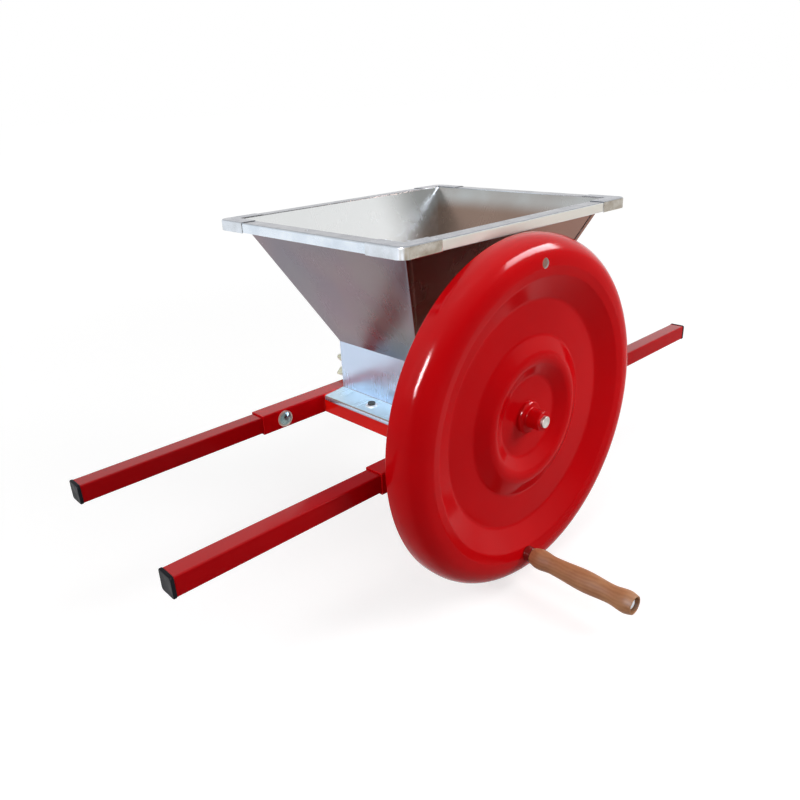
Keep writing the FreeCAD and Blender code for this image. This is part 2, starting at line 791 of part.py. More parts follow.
def end_bolt(x):
    washer_y = gear_y1 + end_washer_thick
    head = hexagon_prism(end_bolt_across, end_bolt_head, V(x, washer_y, shaft_height), Y_AXIS)
    shank = rod_y(x, shaft_height, end_bolt_d, gear_y1 - end_bolt_length, washer_y)
    return head.fuse(shank).removeSplitter()


def ring(x, z, outer_d, inner_d, y0, y1):
    return rod_y(x, z, outer_d, y0, y1).cut(rod_y(x, z, inner_d, y0, y1))


def end_washer(x):
    hole_d = end_bolt_d + 2 * bolt_hole_play
    return ring(x, shaft_height, end_washer_d, hole_d, gear_y1, gear_y1 + end_washer_thick)


# The driven gear and roller mirror the drive ones, turned on by half a tooth or half a lobe.
driven_gear_phase = 180.0 - gear_phase_deg + 180.0 / gear_teeth
driven_roller_phase = 180.0 - roller_phase_deg + 180.0 / roller_lobes
shaft_starts = {"drive": shaft_tip_y, "driven": -block_width / 2 - driven_shaft_past_block}
roller_phases = {"drive": roller_phase_deg, "driven": driven_roller_phase}
gear_phases = {"drive": gear_phase_deg, "driven": driven_gear_phase}
for name, x in shaft_xs.items():
    save(name + "_shaft", shaft(x, shaft_starts[name]))
    save(name + "_roller", roller(x, roller_phases[name]))
    save(name + "_gear", gear(x, gear_phases[name]))
    save(name + "_end_washer", end_washer(x))
    save(name + "_end_bolt", end_bolt(x))


# ---------------------------------------------------------------- flywheel
def turned(face_xz, x, y, z):
    """Turn a face drawn as (radius, along) in the XZ plane about +Z, then lay its axis along +Y."""
    solid = face_xz.revolve(V(0, 0, 0), Z_AXIS, 360)
    solid.rotate(V(0, 0, 0), X_AXIS, -90)
    solid.translate(V(x, y, z))
    return solid


def wheel_disc():
    """Pressed disc: flat centre, raised bead, stepped face, deep rounded rim with a turned-in hem."""
    bore_r = shaft_d / 2 + wheel_hole_play
    crest = wheel_centre_depth - wheel_bead_height
    corners = [
        (bore_r, wheel_centre_depth, 0),
        (wheel_bead_inner_r, wheel_centre_depth, wheel_press_radius),
        (wheel_bead_r, crest, wheel_bead_radius),
        (wheel_bead_outer_r, wheel_plate_depth, wheel_press_radius),
        (wheel_step_inner_r, wheel_plate_depth, wheel_press_radius),
        (wheel_step_outer_r, wheel_step_outer_depth, wheel_press_radius),
        (wheel_step_outer_r + wheel_land_run, 0, wheel_press_radius),
        (wheel_r, 0, wheel_rim_radius),
        (wheel_r, wheel_depth, wheel_hem_radius),
        (wheel_r - wheel_hem, wheel_depth, 0),
    ]
    section = folded_sheet(corners, wheel_sheet)
    disc = turned(section, shaft_xs["drive"], wheel_front_y, shaft_height)
    for x, z in ((crank_x, crank_z), (shaft_xs["drive"], spare_hole_z)):
        hole = rod_y(x, z, crank_hole_d, wheel_front_y - EXTRA, wheel_front_y + wheel_rim_radius)
        disc = disc.cut(hole)
    return disc


def hub():
    """Turned hub with a rounded collar against the disc and a cross hole for the set screw."""
    x = shaft_xs["drive"]
    collar_y = plate_y - hub_collar
    boss = rod_y(x, shaft_height, hub_d, hub_end_y, plate_y)
    collar = rod_y(x, shaft_height, hub_collar_d, collar_y, plate_y)
    front_edges = [edge for edge in collar.Edges if abs(edge.BoundBox.YMax - collar_y) < NEAR]
    collar = collar.makeFillet(hub_collar_radius, front_edges)
    body = boss.fuse(collar).removeSplitter()
    bore_d = shaft_d + 2 * seat_fit
    body = body.cut(rod_y(x, shaft_height, bore_d, hub_end_y - EXTRA, plate_y + EXTRA))
    return body.cut(rod_z(x, hub_screw_y, hub_screw_d, shaft_height - hub_d, shaft_height))


def hub_screw():
    x = shaft_xs["drive"]
    outer = shaft_height - hub_d / 2 + hub_screw_sunk
    body = rod_z(x, hub_screw_y, hub_screw_d, outer, shaft_height - shaft_d / 2 - seat_fit)
    mouth = V(x, hub_screw_y, outer)
    return body.cut(hexagon_prism(hub_screw_socket, hub_screw_socket_depth, mouth, Z_AXIS))


hub_screw_y = plate_y - hub_screw_from_plate
behind_disc = plate_y + wheel_sheet
behind_plate = behind_disc + back_plate
spacer_end = -block_width / 2 - spacer_to_block
drive_x = shaft_xs["drive"]
plate_bore_d = shaft_d + 2 * seat_fit
spacer_bore_d = shaft_d + 2 * spacer_play
wheel = wheel_disc()
save("flywheel_disc", wheel)
save("flywheel_hub", hub())
save("hub_set_screw", hub_screw())
save("hub_back_plate", ring(drive_x, shaft_height, back_plate_d, plate_bore_d, behind_disc, behind_plate))
save("shaft_spacer", ring(drive_x, shaft_height, spacer_d, spacer_bore_d, behind_plate, spacer_end))


# ---------------------------------------------------------------- crank handle
def crank_seat():
    """Foremost place of the back washer, brought up step by step to the curved back of the disc."""
    y = wheel_front_y + wheel_rim_radius
    for _ in range(SEAT_STEPS):
        washer = rod_y(crank_x, crank_z, crank_washer_d, y, y + crank_washer)
        y = y - washer.distToShape(wheel)[0] + crank_washer_seat_gap
    return y


def crank_bolt():
    """Round head bolt through grip, boss and disc."""
    end_y = crank_seat_y + crank_washer + crank_nut_height + crank_thread_past_nut
    shank = rod_y(crank_x, crank_z, crank_bolt_d, bolt_head_y, end_y)
    front_y = bolt_head_y - crank_bolt_head
    head = rod_y(crank_x, crank_z, crank_bolt_head_d, front_y, bolt_head_y)
    front_edges = [edge for edge in head.Edges if abs(edge.BoundBox.YMax - front_y) < NEAR]
    head = head.makeFillet(crank_bolt_head_edge, front_edges)
    return shank.fuse(head).removeSplitter()


def grip():
    """Turned wooden grip: three swellings with a waist and a neck, recess for the bolt head."""
    bore_r = crank_bolt_d / 2 + grip_bore_fit
    recess_r = grip_recess_d / 2
    recess_end = grip_recess - grip_length
    outline = [
        V(grip_base_r, 0, 0),
        V(grip_bulge_r, 0, -grip_length * grip_bulge_share),
        V(grip_waist_r, 0, -grip_length * grip_waist_share),
        V(grip_swell_r, 0, -grip_length * grip_swell_share),
        V(grip_neck_r, 0, -grip_length * grip_neck_share),
        V(grip_end_r, 0, -grip_length * grip_end_share),
        V(grip_tip_r, 0, -grip_length),
    ]
    curve = Part.BSplineCurve()
    curve.interpolate(outline)
    inside = [outline[-1], V(recess_r, 0, -grip_length), V(recess_r, 0, recess_end),
              V(bore_r, 0, recess_end), V(bore_r, 0, 0), outline[0]]
    edges = [curve.toShape()]
    for start, end in zip(inside, inside[1:]):
        edges.append(Part.LineSegment(start, end).toShape())
    face = Part.Face(Part.Wire(Part.__sortEdges__(edges)))
    return turned(face, crank_x, grip_y0, crank_z)


# The boss is welded on, so its back follows the rounded face of the disc.
boss_end = wheel_front_y + crank_boss_weld
boss = ring(crank_x, crank_z, crank_boss_d, crank_bolt_d + 2 * seat_fit, boss_y, boss_end).cut(wheel)
washer_hole_d = crank_bolt_d + 2 * crank_washer_play
crank_seat_y = crank_seat()
end_washer_y = grip_y1 + grip_recess - grip_play
bolt_head_y = end_washer_y - crank_washer
nut_y = crank_seat_y + crank_washer
nut = hexagon_prism(crank_nut_across, crank_nut_height, V(crank_x, nut_y, crank_z), Y_AXIS)
nut = nut.cut(rod_y(crank_x, crank_z, crank_bolt_d, nut_y, nut_y + crank_nut_height))
save("crank_boss", boss)
save("crank_bolt", crank_bolt())
save("crank_end_washer", ring(crank_x, crank_z, crank_washer_d, washer_hole_d, bolt_head_y, end_washer_y))
save("crank_back_washer", ring(crank_x, crank_z, crank_washer_d, washer_hole_d, crank_seat_y, nut_y))
save("crank_nut", nut)
save("grip", grip())
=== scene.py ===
import json
from math import asin, atan2, copysign, cos, pi, radians, sin, tan, tau

import bmesh
import bpy
from mathutils import Matrix, Vector, noise


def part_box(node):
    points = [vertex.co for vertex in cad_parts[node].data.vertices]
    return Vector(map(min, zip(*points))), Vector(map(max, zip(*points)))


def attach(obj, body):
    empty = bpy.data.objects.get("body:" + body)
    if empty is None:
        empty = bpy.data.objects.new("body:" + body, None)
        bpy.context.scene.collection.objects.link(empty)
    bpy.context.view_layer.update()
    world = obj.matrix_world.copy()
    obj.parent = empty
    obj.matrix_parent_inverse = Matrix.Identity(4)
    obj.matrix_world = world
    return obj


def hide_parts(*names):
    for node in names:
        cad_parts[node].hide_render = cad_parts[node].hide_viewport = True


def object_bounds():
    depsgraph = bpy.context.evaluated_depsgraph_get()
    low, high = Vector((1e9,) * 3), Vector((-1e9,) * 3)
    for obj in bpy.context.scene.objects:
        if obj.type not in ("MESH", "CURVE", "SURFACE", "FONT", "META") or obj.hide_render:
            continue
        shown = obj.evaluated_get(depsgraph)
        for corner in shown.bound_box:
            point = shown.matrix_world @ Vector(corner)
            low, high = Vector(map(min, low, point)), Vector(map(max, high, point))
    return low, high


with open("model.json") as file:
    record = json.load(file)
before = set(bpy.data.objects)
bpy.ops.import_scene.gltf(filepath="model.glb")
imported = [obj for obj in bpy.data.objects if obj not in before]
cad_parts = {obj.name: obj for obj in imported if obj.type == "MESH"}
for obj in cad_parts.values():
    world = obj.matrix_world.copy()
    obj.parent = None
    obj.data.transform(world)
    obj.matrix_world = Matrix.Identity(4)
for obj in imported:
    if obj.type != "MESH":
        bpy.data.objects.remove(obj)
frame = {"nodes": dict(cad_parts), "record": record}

cad_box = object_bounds()

# ---------------------------------------------------------------- camera
# Stands off the crank side, left of the flywheel, and looks down on the machine from just above
# the rim of the hopper.
camera_place = Vector((-0.7590, -0.5941, 0.4482))
camera_turn = radians(-42.62)
camera_rise = radians(22.87)
camera_roll = radians(-2.75)
camera_lens = 32.07
Z = Vector((0, 0, 1))


def new_object(name, data):
    made = bpy.data.objects.new(name, data)
    bpy.context.scene.collection.objects.link(made)
    return made


away = Vector((sin(camera_turn), -cos(camera_turn), 0)) * cos(camera_rise) + Z * sin(camera_rise)
level = Vector((cos(camera_turn), sin(camera_turn), 0))
upright = away.cross(level)
rolled_level = level * cos(camera_roll) + upright * sin(camera_roll)
rolled_upright = upright * cos(camera_roll) - level * sin(camera_roll)
camera_data = bpy.data.cameras.new("camera")
camera_data.lens = camera_lens
camera_data.clip_start = 0.01
camera = new_object("camera", camera_data)
camera_axes = Matrix((rolled_level, rolled_upright, away)).transposed()
camera.matrix_world = Matrix.Translation(camera_place) @ camera_axes.to_4x4()
bpy.context.scene.camera = camera
bpy.context.scene.view_settings.view_transform = "Standard"


# ---------------------------------------------------------------- floor, backdrop and lamps
# A wide white studio floor just under the wheel and a white backdrop, which metal and enamel see
# going grey overhead. Three soft lamps light the machine; a panel above it, a narrow strip beside
# the camera and a long one on the right only draw streaks in its gloss.
floor_reach = 60.0
floor_drop = 0.0005
floor_grey = (0.46, 0.46, 0.46)
floor_lift_near = 0.70
floor_lift_far = 0.88
lift_from = 0.7
lift_full = 2.8
backdrop_white = 1.0
overhead_grey = 0.70
overhead_from = 0.12
overhead_full = 0.62
room_light = 0.27
white = (1.0, 1.0, 1.0)


def put(tree, kind, sockets=None, **settings):
    """Adds a node; its sockets take a value, a link or another node, and settings are its options."""
    node = tree.nodes.new(kind if "Node" in kind else "ShaderNode" + kind)
    for option, value in settings.items():
        setattr(node, option, value)
    for key, value in (sockets or {}).items():
        if isinstance(value, bpy.types.Node):
            value = value.outputs[0]
        if isinstance(value, bpy.types.NodeSocket):
            tree.links.new(value, node.inputs[key])
        else:
            node.inputs[key].default_value = (*value, 1) if node.inputs[key].type == "RGBA" else value
    return node


def calc(tree, operation, *values):
    return put(tree, "Math", dict(enumerate(values)), operation=operation)


def ramp(tree, value, low, high, at_low=0.0, at_high=1.0, curve="LINEAR"):
    """Value that goes from at_low to at_high while another goes from low to high."""
    return put(tree, "MapRange", {"Value": value, "From Min": low, "From Max": high, "To Min": at_low,
                                  "To Max": at_high}, interpolation_type=curve)


def where(tree, kind="Object"):
    return put(tree, "TexCoord").outputs[kind]


def split(tree, vector):
    return put(tree, "SeparateXYZ", {0: vector}).outputs


def new_material(name):
    """Empty node material and its tree."""
    made = bpy.data.materials.new(name)
    made.use_nodes = True
    made.node_tree.nodes.clear()
    return made, made.node_tree


def lamp(name, place, target, width, height, power, tint=white, lean=0.0, gloss=False):
    """Rectangular lamp, leaning by some degrees, that lights surfaces or only shows in their gloss."""
    data = bpy.data.lights.new(name, "AREA")
    data.shape = "RECTANGLE"
    data.size = width
    data.size_y = height
    data.energy = power
    data.color = tint
    made = new_object(name, data)
    aim = (Vector(target) - Vector(place)).to_track_quat("-Z", "Y").to_matrix().to_4x4()
    made.matrix_world = Matrix.Translation(place) @ aim @ Matrix.Rotation(radians(lean), 4, "Z")
    made.visible_diffuse = not gloss
    made.visible_glossy = gloss
    made.light_linking.receiver_collection = bpy.data.collections.new("kept_off_" + name)
    return made


def keep_off(source, piece):
    """Keeps one lamp off one piece, as a flag on a stand does."""
    kept_off = source.light_linking.receiver_collection
    kept_off.objects.link(piece)
    for member in kept_off.collection_objects:
        member.light_linking.link_state = "EXCLUDE"


lamp("left_softbox", (-1.75, 0.15, 1.15), (0, 0.1, 0.1), 1.3, 1.1, 16.0, (1.0, 0.99, 0.98))
lamp("front_softbox", (1.15, -1.25, 0.95), (0, 0.1, 0.15), 1.0, 1.0, 23.0)
lamp("top_softbox", (-0.25, -0.35, 1.55), (0, 0.0, 0.1), 0.9, 0.35, 4.5)
top_panel = lamp("top_panel", (-0.25, -0.35, 1.55), (0, 0.0, 0.1), 0.9, 0.35, 4.0, gloss=True)
left_strip = lamp("left_strip", (-1.48, -0.73, 0.94), (-0.24, -0.07, 0.17), 0.26, 0.70, 92.0,
                  (0.97, 0.94, 1.0), -31.0, gloss=True)
front_strip = lamp("front_strip", (1.33, -1.01, 1.29), (-0.05, -0.08, 0.27), 1.15, 0.55, 50.0,
                   (0.97, 0.96, 1.0), -30.0, gloss=True)

world = bpy.data.worlds.new("studio")
bpy.context.scene.world = world
world.use_nodes = True
tree = world.node_tree
tree.nodes.clear()
climb = ramp(tree, split(tree, where(tree, "Generated"))["Z"], overhead_from, overhead_full, backdrop_white,
             overhead_grey, "SMOOTHSTEP")
rays = put(tree, "LightPath").outputs
mirrored = calc(tree, "MAXIMUM", rays["Is Glossy Ray"], rays["Is Transmission Ray"])
around = put(tree, "Mix", {"Factor": mirrored, "A": room_light, "B": climb})
strength = put(tree, "Mix", {"Factor": rays["Is Camera Ray"], "A": around, "B": backdrop_white})
put(tree, "OutputWorld", {"Surface": put(tree, "Background", {"Color": white, "Strength": strength})})

floor_mesh = bpy.data.meshes.new("studio_floor")
floor_mesh.from_pydata([(x * floor_reach, y * floor_reach, cad_box[0].z - floor_drop)
                        for x, y in ((-1, -1), (1, -1), (1, 1), (-1, 1))], [], [(0, 1, 2, 3)])
studio_floor = new_object("studio_floor", floor_mesh)
floor_paint, tree = new_material("floor_paint")
distance = put(tree, "VectorMath", {0: where(tree)}, operation="LENGTH").outputs["Value"]
lift = ramp(tree, distance, lift_from, lift_full, floor_lift_near, floor_lift_far)
rays = put(tree, "LightPath").outputs
seen = calc(tree, "MAXIMUM", rays["Is Glossy Ray"], rays["Is Transmission Ray"])
seen = calc(tree, "MAXIMUM", seen, rays["Is Camera Ray"])
glow = put(tree, "Emission", {"Color": white, "Strength": calc(tree, "MULTIPLY", seen, lift)})
both = put(tree, "AddShader", {0: put(tree, "BsdfDiffuse", {"Color": floor_grey}), 1: glow})
put(tree, "OutputMaterial", {"Surface": both})
floor_mesh.materials.append(floor_paint)


# ---------------------------------------------------------------- rails
# Two sleeves of 30 mm square steel tube that lie across the vat and take the arms in their ends.
# Rolled with rounded corners, drilled for the lock bolts, and enamelled glossy red.
X = Vector((1, 0, 0))
Y = Vector((0, 1, 0))
tube_wall = 0.002
tube_corner = 0.0026
corner_steps = 6
mouth_round = 0.0004
lock_bolt_inset = 0.0375
lock_hole = 0.0085
sharp_edge = radians(35)
enamel_deep = (0.54, 0.0012, 0.0035)
enamel_bright = (0.62, 0.0026, 0.0050)


def new_group(name, kind, inputs, output):
    """Node group and its inner inputs; each input is given by its default or by its type."""
    made = bpy.data.node_groups.new(name, kind)
    for label, value in inputs.items():
        named = {float: "Float", int: "Int"}.get(type(value), value)
        socket = made.interface.new_socket(label, in_out="INPUT", socket_type="NodeSocket" + named)
        if named != value:
            socket.default_value = value
    made.interface.new_socket(output, in_out="OUTPUT", socket_type="NodeSocket" + output)
    return made, made.nodes.new("NodeGroupInput").outputs


# Soft uneven patches, as on paint, moulded plastic and handled metal.
mottle, given = new_group("mottle", "ShaderNodeTree",
                          {"Vector": "Vector", "Scale": 10.0, "Detail": 3.0, "Low": 0.0, "High": 1.0},
                          "Float")
cloud = put(mottle, "TexNoise", {label: given[label] for label in ("Vector", "Scale", "Detail")})
put(mottle, "NodeGroupOutput", {0: ramp(mottle, cloud, 0.3, 0.7, given["Low"], given["High"])})


def patches(tree, scale, low=0.0, high=1.0, detail=3.0, vector=None):
    """Mottle on the object's own coordinates, from low to high."""
    return put(tree, "Group", {"Vector": vector or where(tree), "Scale": scale, "Detail": detail, "Low": low,
                               "High": high}, node_tree=mottle)


def mix_colour(tree, factor, first, second):
    return put(tree, "Mix", {0: factor, 6: first, 7: second}, data_type="RGBA").outputs[2]


def relief(tree, height, depth, strength=1.0):
    """Normal of a bump of the given depth in metres."""
    return put(tree, "Bump", {"Height": height, "Distance": depth, "Strength": strength})


def facing(tree, axis, low, high, at_low=0.0, at_high=1.0):
    """Value that follows how far the surface faces along an axis, X, Y or Z of its object."""
    return ramp(tree, split(tree, where(tree, "Normal"))[axis], low, high, at_low, at_high)


def shade(tree, colour, dull, specular=0.5, **more):
    """Ends a material in a surface of that colour and roughness; more are its other sockets."""
    sockets = {label.replace("_", " ").title(): value for label, value in more.items()}
    sockets.update({"Base Color": colour, "Roughness": dull, "Specular IOR Level": specular})
    put(tree, "OutputMaterial", {"Surface": put(tree, "BsdfPrincipled", sockets)})


def enamel(name, deep, bright):
    """Glossy stoved enamel: slightly uneven colour, orange peel and a few dull handling marks."""
    made, tree = new_material(name)
    peel = relief(tree, patches(tree, 420.0, detail=1.0), 0.00002, 0.3)
    # Painted sheen: the gloss is set much stronger on faces turned up than on upright ones, and weakest on
    # faces turned to the crank side.
    upwards = facing(tree, "Z", 0.35, 0.98, 0.022, 0.34)
    painted_sheen_level = calc(tree, "ADD", upwards, facing(tree, "Y", -0.7, -0.5, 0.0, 0.033))
    tone = mix_colour(tree, patches(tree, 7.0), deep, bright)
    shade(tree, tone, patches(tree, 23.0, 0.07, 0.15, 6.0), painted_sheen_level, normal=peel)
    return made


def square_loop(centre, along, half, corner):
    """Points of a rounded square about centre, across the given axis."""
    side = along.cross(Z) * -1
    points = []
    for quarter in range(4):
        middle = pi / 2 * quarter + pi / 4
        heart_u = copysign(half - corner, cos(middle))
        heart_w = copysign(half - corner, sin(middle))
        for step in range(corner_steps + 1):
            turn = pi / 2 * (quarter + step / corner_steps)
            points.append(centre + side * (heart_u + corner * cos(turn)) + Z * (heart_w + corner * sin(turn)))
    return points


def built(name, shape, finish=None):
    """Object made of a bmesh."""
    mesh = bpy.data.meshes.new(name)
    shape.to_mesh(mesh)
    shape.free()
    if finish:
        mesh.materials.append(finish)
    return new_object(name, mesh)


def skin(name, loops, finish, ring=False):
    """Surface through loops of equal count; a ring joins its last loop to its first."""
    shape = bmesh.new()
    rows = [[shape.verts.new(point) for point in loop] for loop in loops]
    count = len(rows[0])
    for near, far in zip(rows, rows[1:] + rows[:1] if ring else rows[1:]):
        for i in range(count):
            j = (i + 1) % count
            shape.faces.new((near[i], near[j], far[j], far[i]))
    if not ring:
        shape.faces.new(reversed(rows[0]))
        shape.faces.new(rows[-1])
    bmesh.ops.remove_doubles(shape, verts=shape.verts, dist=1e-7)
    bmesh.ops.recalc_face_normals(shape, faces=shape.faces)
    return built(name, shape, finish)


def rod(centre, axis, diameter, length):
    """Plain round cutter through centre."""
    shape = bmesh.new()
    turn = axis.to_track_quat("Z", "Y").to_matrix().to_4x4()
    bmesh.ops.create_cone(shape, cap_ends=True, segments=48, radius1=diameter / 2, radius2=diameter / 2,
                          depth=length, matrix=Matrix.Translation(centre) @ turn)
    return built("cutter", shape)


def settle(piece):
    """Keeps the shape that the piece's modifiers give as its plain mesh."""
    bpy.context.view_layer.update()
    mesh = bpy.data.meshes.new_from_object(piece.evaluated_get(bpy.context.evaluated_depsgraph_get()))
    piece.modifiers.clear()
    piece.data = mesh
    mesh.name = piece.name


def cut(piece, *cutters):
    """Cuts the cutters out of the piece and throws them away."""
    for cutter in cutters:
        bore = piece.modifiers.new("bore", "BOOLEAN")
        bore.operation = "DIFFERENCE"
        bore.solver = "EXACT"
        bore.object = cutter
    settle(piece)
    for cutter in cutters:
        bpy.data.objects.remove(cutter)


bodies = frame["record"]["behaviour"]["bodies"]
body_of = {member: body for body, members in bodies.items() for member in members}


def fit(piece, slot, *nodes, body=None):
    """Finished piece: smooth between sharp edges, and riding with the CAD nodes that it stands for."""
    piece.data.shade_smooth()
    piece.data.set_sharp_from_angle(angle=sharp_edge)
    piece.modifiers.new("face_weights", "WEIGHTED_NORMAL").keep_sharp = True
    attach(piece, body or body_of[nodes[0]])
    if nodes:
        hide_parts(*nodes)


def square_tube(name, along, start, end, half, corner, wall, finish):
    """Open tube between two points on its axis, its mouths lightly rounded."""
    inner = (half - wall, max(corner - wall, mouth_round))
    mouth = (half - mouth_round, corner)
    rows = [(start, mouth), (start + along * mouth_round, (half, corner)),
            (end - along * mouth_round, (half, corner)), (end, mouth), (end, inner), (start, inner)]
    return skin(name, [square_loop(point, along, *size) for point, size in rows], finish, ring=True)


def ends_of(node, along):
    """Points where a tube's axis meets the two ends of its node, and half the tube's width."""
    low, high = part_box(node)
    middle = (low + high) / 2
    reach = (high - low).dot(along) / 2
    return middle - along * reach, middle + along * reach, (high.z - low.z) / 2


red_enamel = enamel("red_enamel", enamel_deep, enamel_bright)
for side in ("crank", "gear"):
    node = "rail_" + side + "_side"
    start, end, half = ends_of(node, X)
    rail = square_tube("sleeve_rail_" + side, X, start, end, half, tube_corner, tube_wall, red_enamel)
    holes = (start + X * lock_bolt_inset, end - X * lock_bolt_inset)
    cut(rail, *[rod(hole, Y, lock_hole, 4 * half) for hole in holes])
    fit(rail, "red_enamel", node)


# ---------------------------------------------------------------- cross bars and their welds
# Two shorter pieces of the same tube that space the rails. Each end is welded to a rail with a
# narrow rippled bead up both sides, and enamelled with the frame.
bead_radius = 0.0016
bead_ripple = 0.0011
bead_ripple_share = 0.10


def close_group(group, given, made):
    """Ends a geometry tree in real geometry with its finish on it."""
    real = put(group, "GeometryNodeRealizeInstances", {0: made})
    coated = put(group, "GeometryNodeSetMaterial", {0: real, "Material": given["Finish"]})
    put(group, "NodeGroupOutput", {0: coated})


weld, given = new_group("weld_bead", "GeometryNodeTree",
                        {"Geometry": "Geometry", "Bead Radius": 0.002, "Ripple": 0.001, "Ripple Share": 0.1,
                         "Finish": "Material"}, "Geometry")
line = put(weld, "GeometryNodeMeshToCurve", {0: given["Geometry"]})
stride = calc(weld, "DIVIDE", given["Ripple"], 5.0)
fine = put(weld, "GeometryNodeResampleCurve", {"Curve": line, "Length": stride}, mode="LENGTH")
along = put(weld, "GeometryNodeSplineParameter").outputs["Length"]
wave = calc(weld, "SINE", calc(weld, "MULTIPLY", calc(weld, "DIVIDE", along, given["Ripple"]), tau))
stray = put(weld, "TexNoise", {"Scale": 260.0, "Detail": 2.0})
uneven = calc(weld, "SUBTRACT", calc(weld, "MULTIPLY", stray, 0.5), 0.25)
swell = calc(weld, "ADD", calc(weld, "MULTIPLY_ADD", wave, given["Ripple Share"], 1.0), uneven)
sized = put(weld, "GeometryNodeSetCurveRadius", {0: fine, "Radius": swell})
round_bead = put(weld, "GeometryNodeCurvePrimitiveCircle", {"Resolution": 14, "Radius": given["Bead Radius"]})
bead = put(weld, "GeometryNodeCurveToMesh", {0: sized, 1: round_bead, "Fill Caps": True})
if "Scale" in bead.inputs:
    weld.links.new(swell.outputs[0], bead.inputs["Scale"])
close_group(weld, given, bead)


def grow(piece, tree, **values):
    """Runs a geometry tree on the piece with named inputs and keeps the result as its mesh."""
    shaper = piece.modifiers.new("shaper", "NODES")
    shaper.node_group = tree
    for item in tree.interface.items_tree:
        label = item.name.lower().replace(" ", "_")
        if item.item_type == "SOCKET" and item.in_out == "INPUT" and label in values:
            shaper[item.identifier] = values[label]
    settle(piece)


bead_lines = []
# The cross bars' enamel is a brighter copy of the frame's red: painted light.
bar_enamel = enamel("bar_enamel", (0.84, 0.008, 0.005), (0.94, 0.012, 0.007))
for side in ("left", "right"):
    node = "cross_bar_" + side
    start, end, half = ends_of(node, Y)
    bar = square_tube("spacer_bar_" + side, Y, start, end, half, tube_corner, tube_wall, bar_enamel)
    fit(bar, "red_enamel", node)
    for joint in (start, end):
        low_left = joint - X * half - Z * (half - tube_corner)
        high_left = joint - X * half + Z * (half - tube_corner)
        across = X * 2 * half
        bead_lines += [low_left, high_left, low_left + across, high_left + across]
mesh = bpy.data.meshes.new("frame_weld_beads")
mesh.from_pydata(bead_lines, [(i, i + 1) for i in range(0, len(bead_lines), 2)], [])
beads = new_object("frame_weld_beads", mesh)
grow(beads, weld, bead_radius=bead_radius, ripple=bead_ripple, ripple_share=bead_ripple_share,
     finish=red_enamel)
fit(beads, "red_enamel", body=body_of["cross_bar_left"])


# ---------------------------------------------------------------- telescopic arms
# Four arms of 25 mm square tube that slide in the rails. A long slot in each lets the lock bolt
# pass, and stays hidden in the sleeve until the arm is drawn out.
arm_wall = 0.002
arm_corner = 0.0023
slot_inset = 0.016
slot_length = 0.150
slot_height = 0.009


def stadium(first, last, height, depth):
    """Cutter with round ends between two points along X, right through Y."""
    shape = bmesh.new()
    rim = []
    for heart, quarter in ((first, pi / 2), (last, -pi / 2)):
        for step in range(33):
            turn = quarter + pi * step / 32
            rim.append(heart + Vector((cos(turn), 0, sin(turn))) * height / 2)
    face = shape.faces.new([shape.verts.new(point - Y * depth / 2) for point in rim])
    moved = bmesh.ops.extrude_face_region(shape, geom=[face])["geom"]
    bmesh.ops.translate(shape, vec=Y * depth, verts=[v for v in moved if isinstance(v, bmesh.types.BMVert)])
    bmesh.ops.recalc_face_normals(shape, faces=shape.faces)
    return built("cutter", shape)


arm_names = ("left_crank", "left_gear", "right_crank", "right_gear")
# The arms' enamel is a darker copy of the frame's red: painted shade.
arm_enamel = enamel("arm_enamel", (0.40, 0.0009, 0.0030), (0.47, 0.0020, 0.0042))
for arm_name in arm_names:
    node = "arm_" + arm_name
    start, end, half = ends_of(node, X)
    arm = square_tube("sliding_arm_" + arm_name, X, start, end, half, arm_corner, arm_wall, arm_enamel)
    near = slot_inset + slot_height / 2
    far = slot_inset + slot_length - slot_height / 2
    if arm_name.startswith("left"):
        slot_ends = (end - X * far, end - X * near)
    else:
        slot_ends = (start + X * near, start + X * far)
    cut(arm, stadium(*slot_ends, slot_height, 4 * half))
    fit(arm, "red_enamel", node)


# ---------------------------------------------------------------- end caps
# Black moulded plugs pushed into the open ends of the arms. The face is a little wider than the
# tube, with a soft edge and a faint dish where the moulding shrank.
cap_face = 0.004
cap_corner = 0.0032
cap_edge = 0.0012
cap_dish = 0.0003
cap_plug_play = 0.0001
cap_plug_ribs = 0.0022


def flecked(name, scale, detail, deep, bright, dull, bump=None, **more):
    """Material of two tones in patches; bump is the scale, detail, depth and strength of its grain."""
    made, tree = new_material(name)
    if bump:
        more["normal"] = relief(tree, patches(tree, bump[0], detail=bump[1]), *bump[2:])
    tone = mix_colour(tree, patches(tree, scale, detail=detail), deep, bright)
    shade(tree, tone, patches(tree, *dull), **more)
    return made


black_plastic = flecked("black_plastic", 60.0, 3.0, (0.003, 0.004, 0.006), (0.008, 0.009, 0.013),
                        (90.0, 0.36, 0.52), (1500.0, 2.0, 0.00005, 0.5), specular=0.08)
for arm_name in arm_names:
    node = "end_cap_" + arm_name
    start, end, half = ends_of(node, X)
    outwards, tip, back = (-X, start, end) if arm_name.startswith("left") else (X, end, start)
    plug = ends_of("arm_" + arm_name, X)[2] - arm_wall - cap_plug_play
    seat = tip - outwards * cap_face
    rows = [(back, plug - cap_plug_ribs, cap_edge), (back, plug - cap_edge / 2, cap_edge),
            (back + outwards * cap_edge, plug, cap_edge), (seat, plug, cap_edge),
            (seat, half - cap_edge / 3, cap_corner), (seat + outwards * cap_edge / 3, half, cap_corner)]
    for step in range(5):
        turn = pi / 2 * step / 4
        rise = cap_face - cap_edge + cap_edge * sin(turn)
        rows.append((seat + outwards * rise, half - cap_edge + cap_edge * cos(turn), cap_corner))
    rows += [(tip, half * 0.72, cap_corner), (tip - outwards * cap_dish, half * 0.35, cap_corner)]
    cap = skin("arm_plug_" + arm_name, [square_loop(point, X, *size) for point, *size in rows], black_plastic)
    fit(cap, "black_plastic", node)
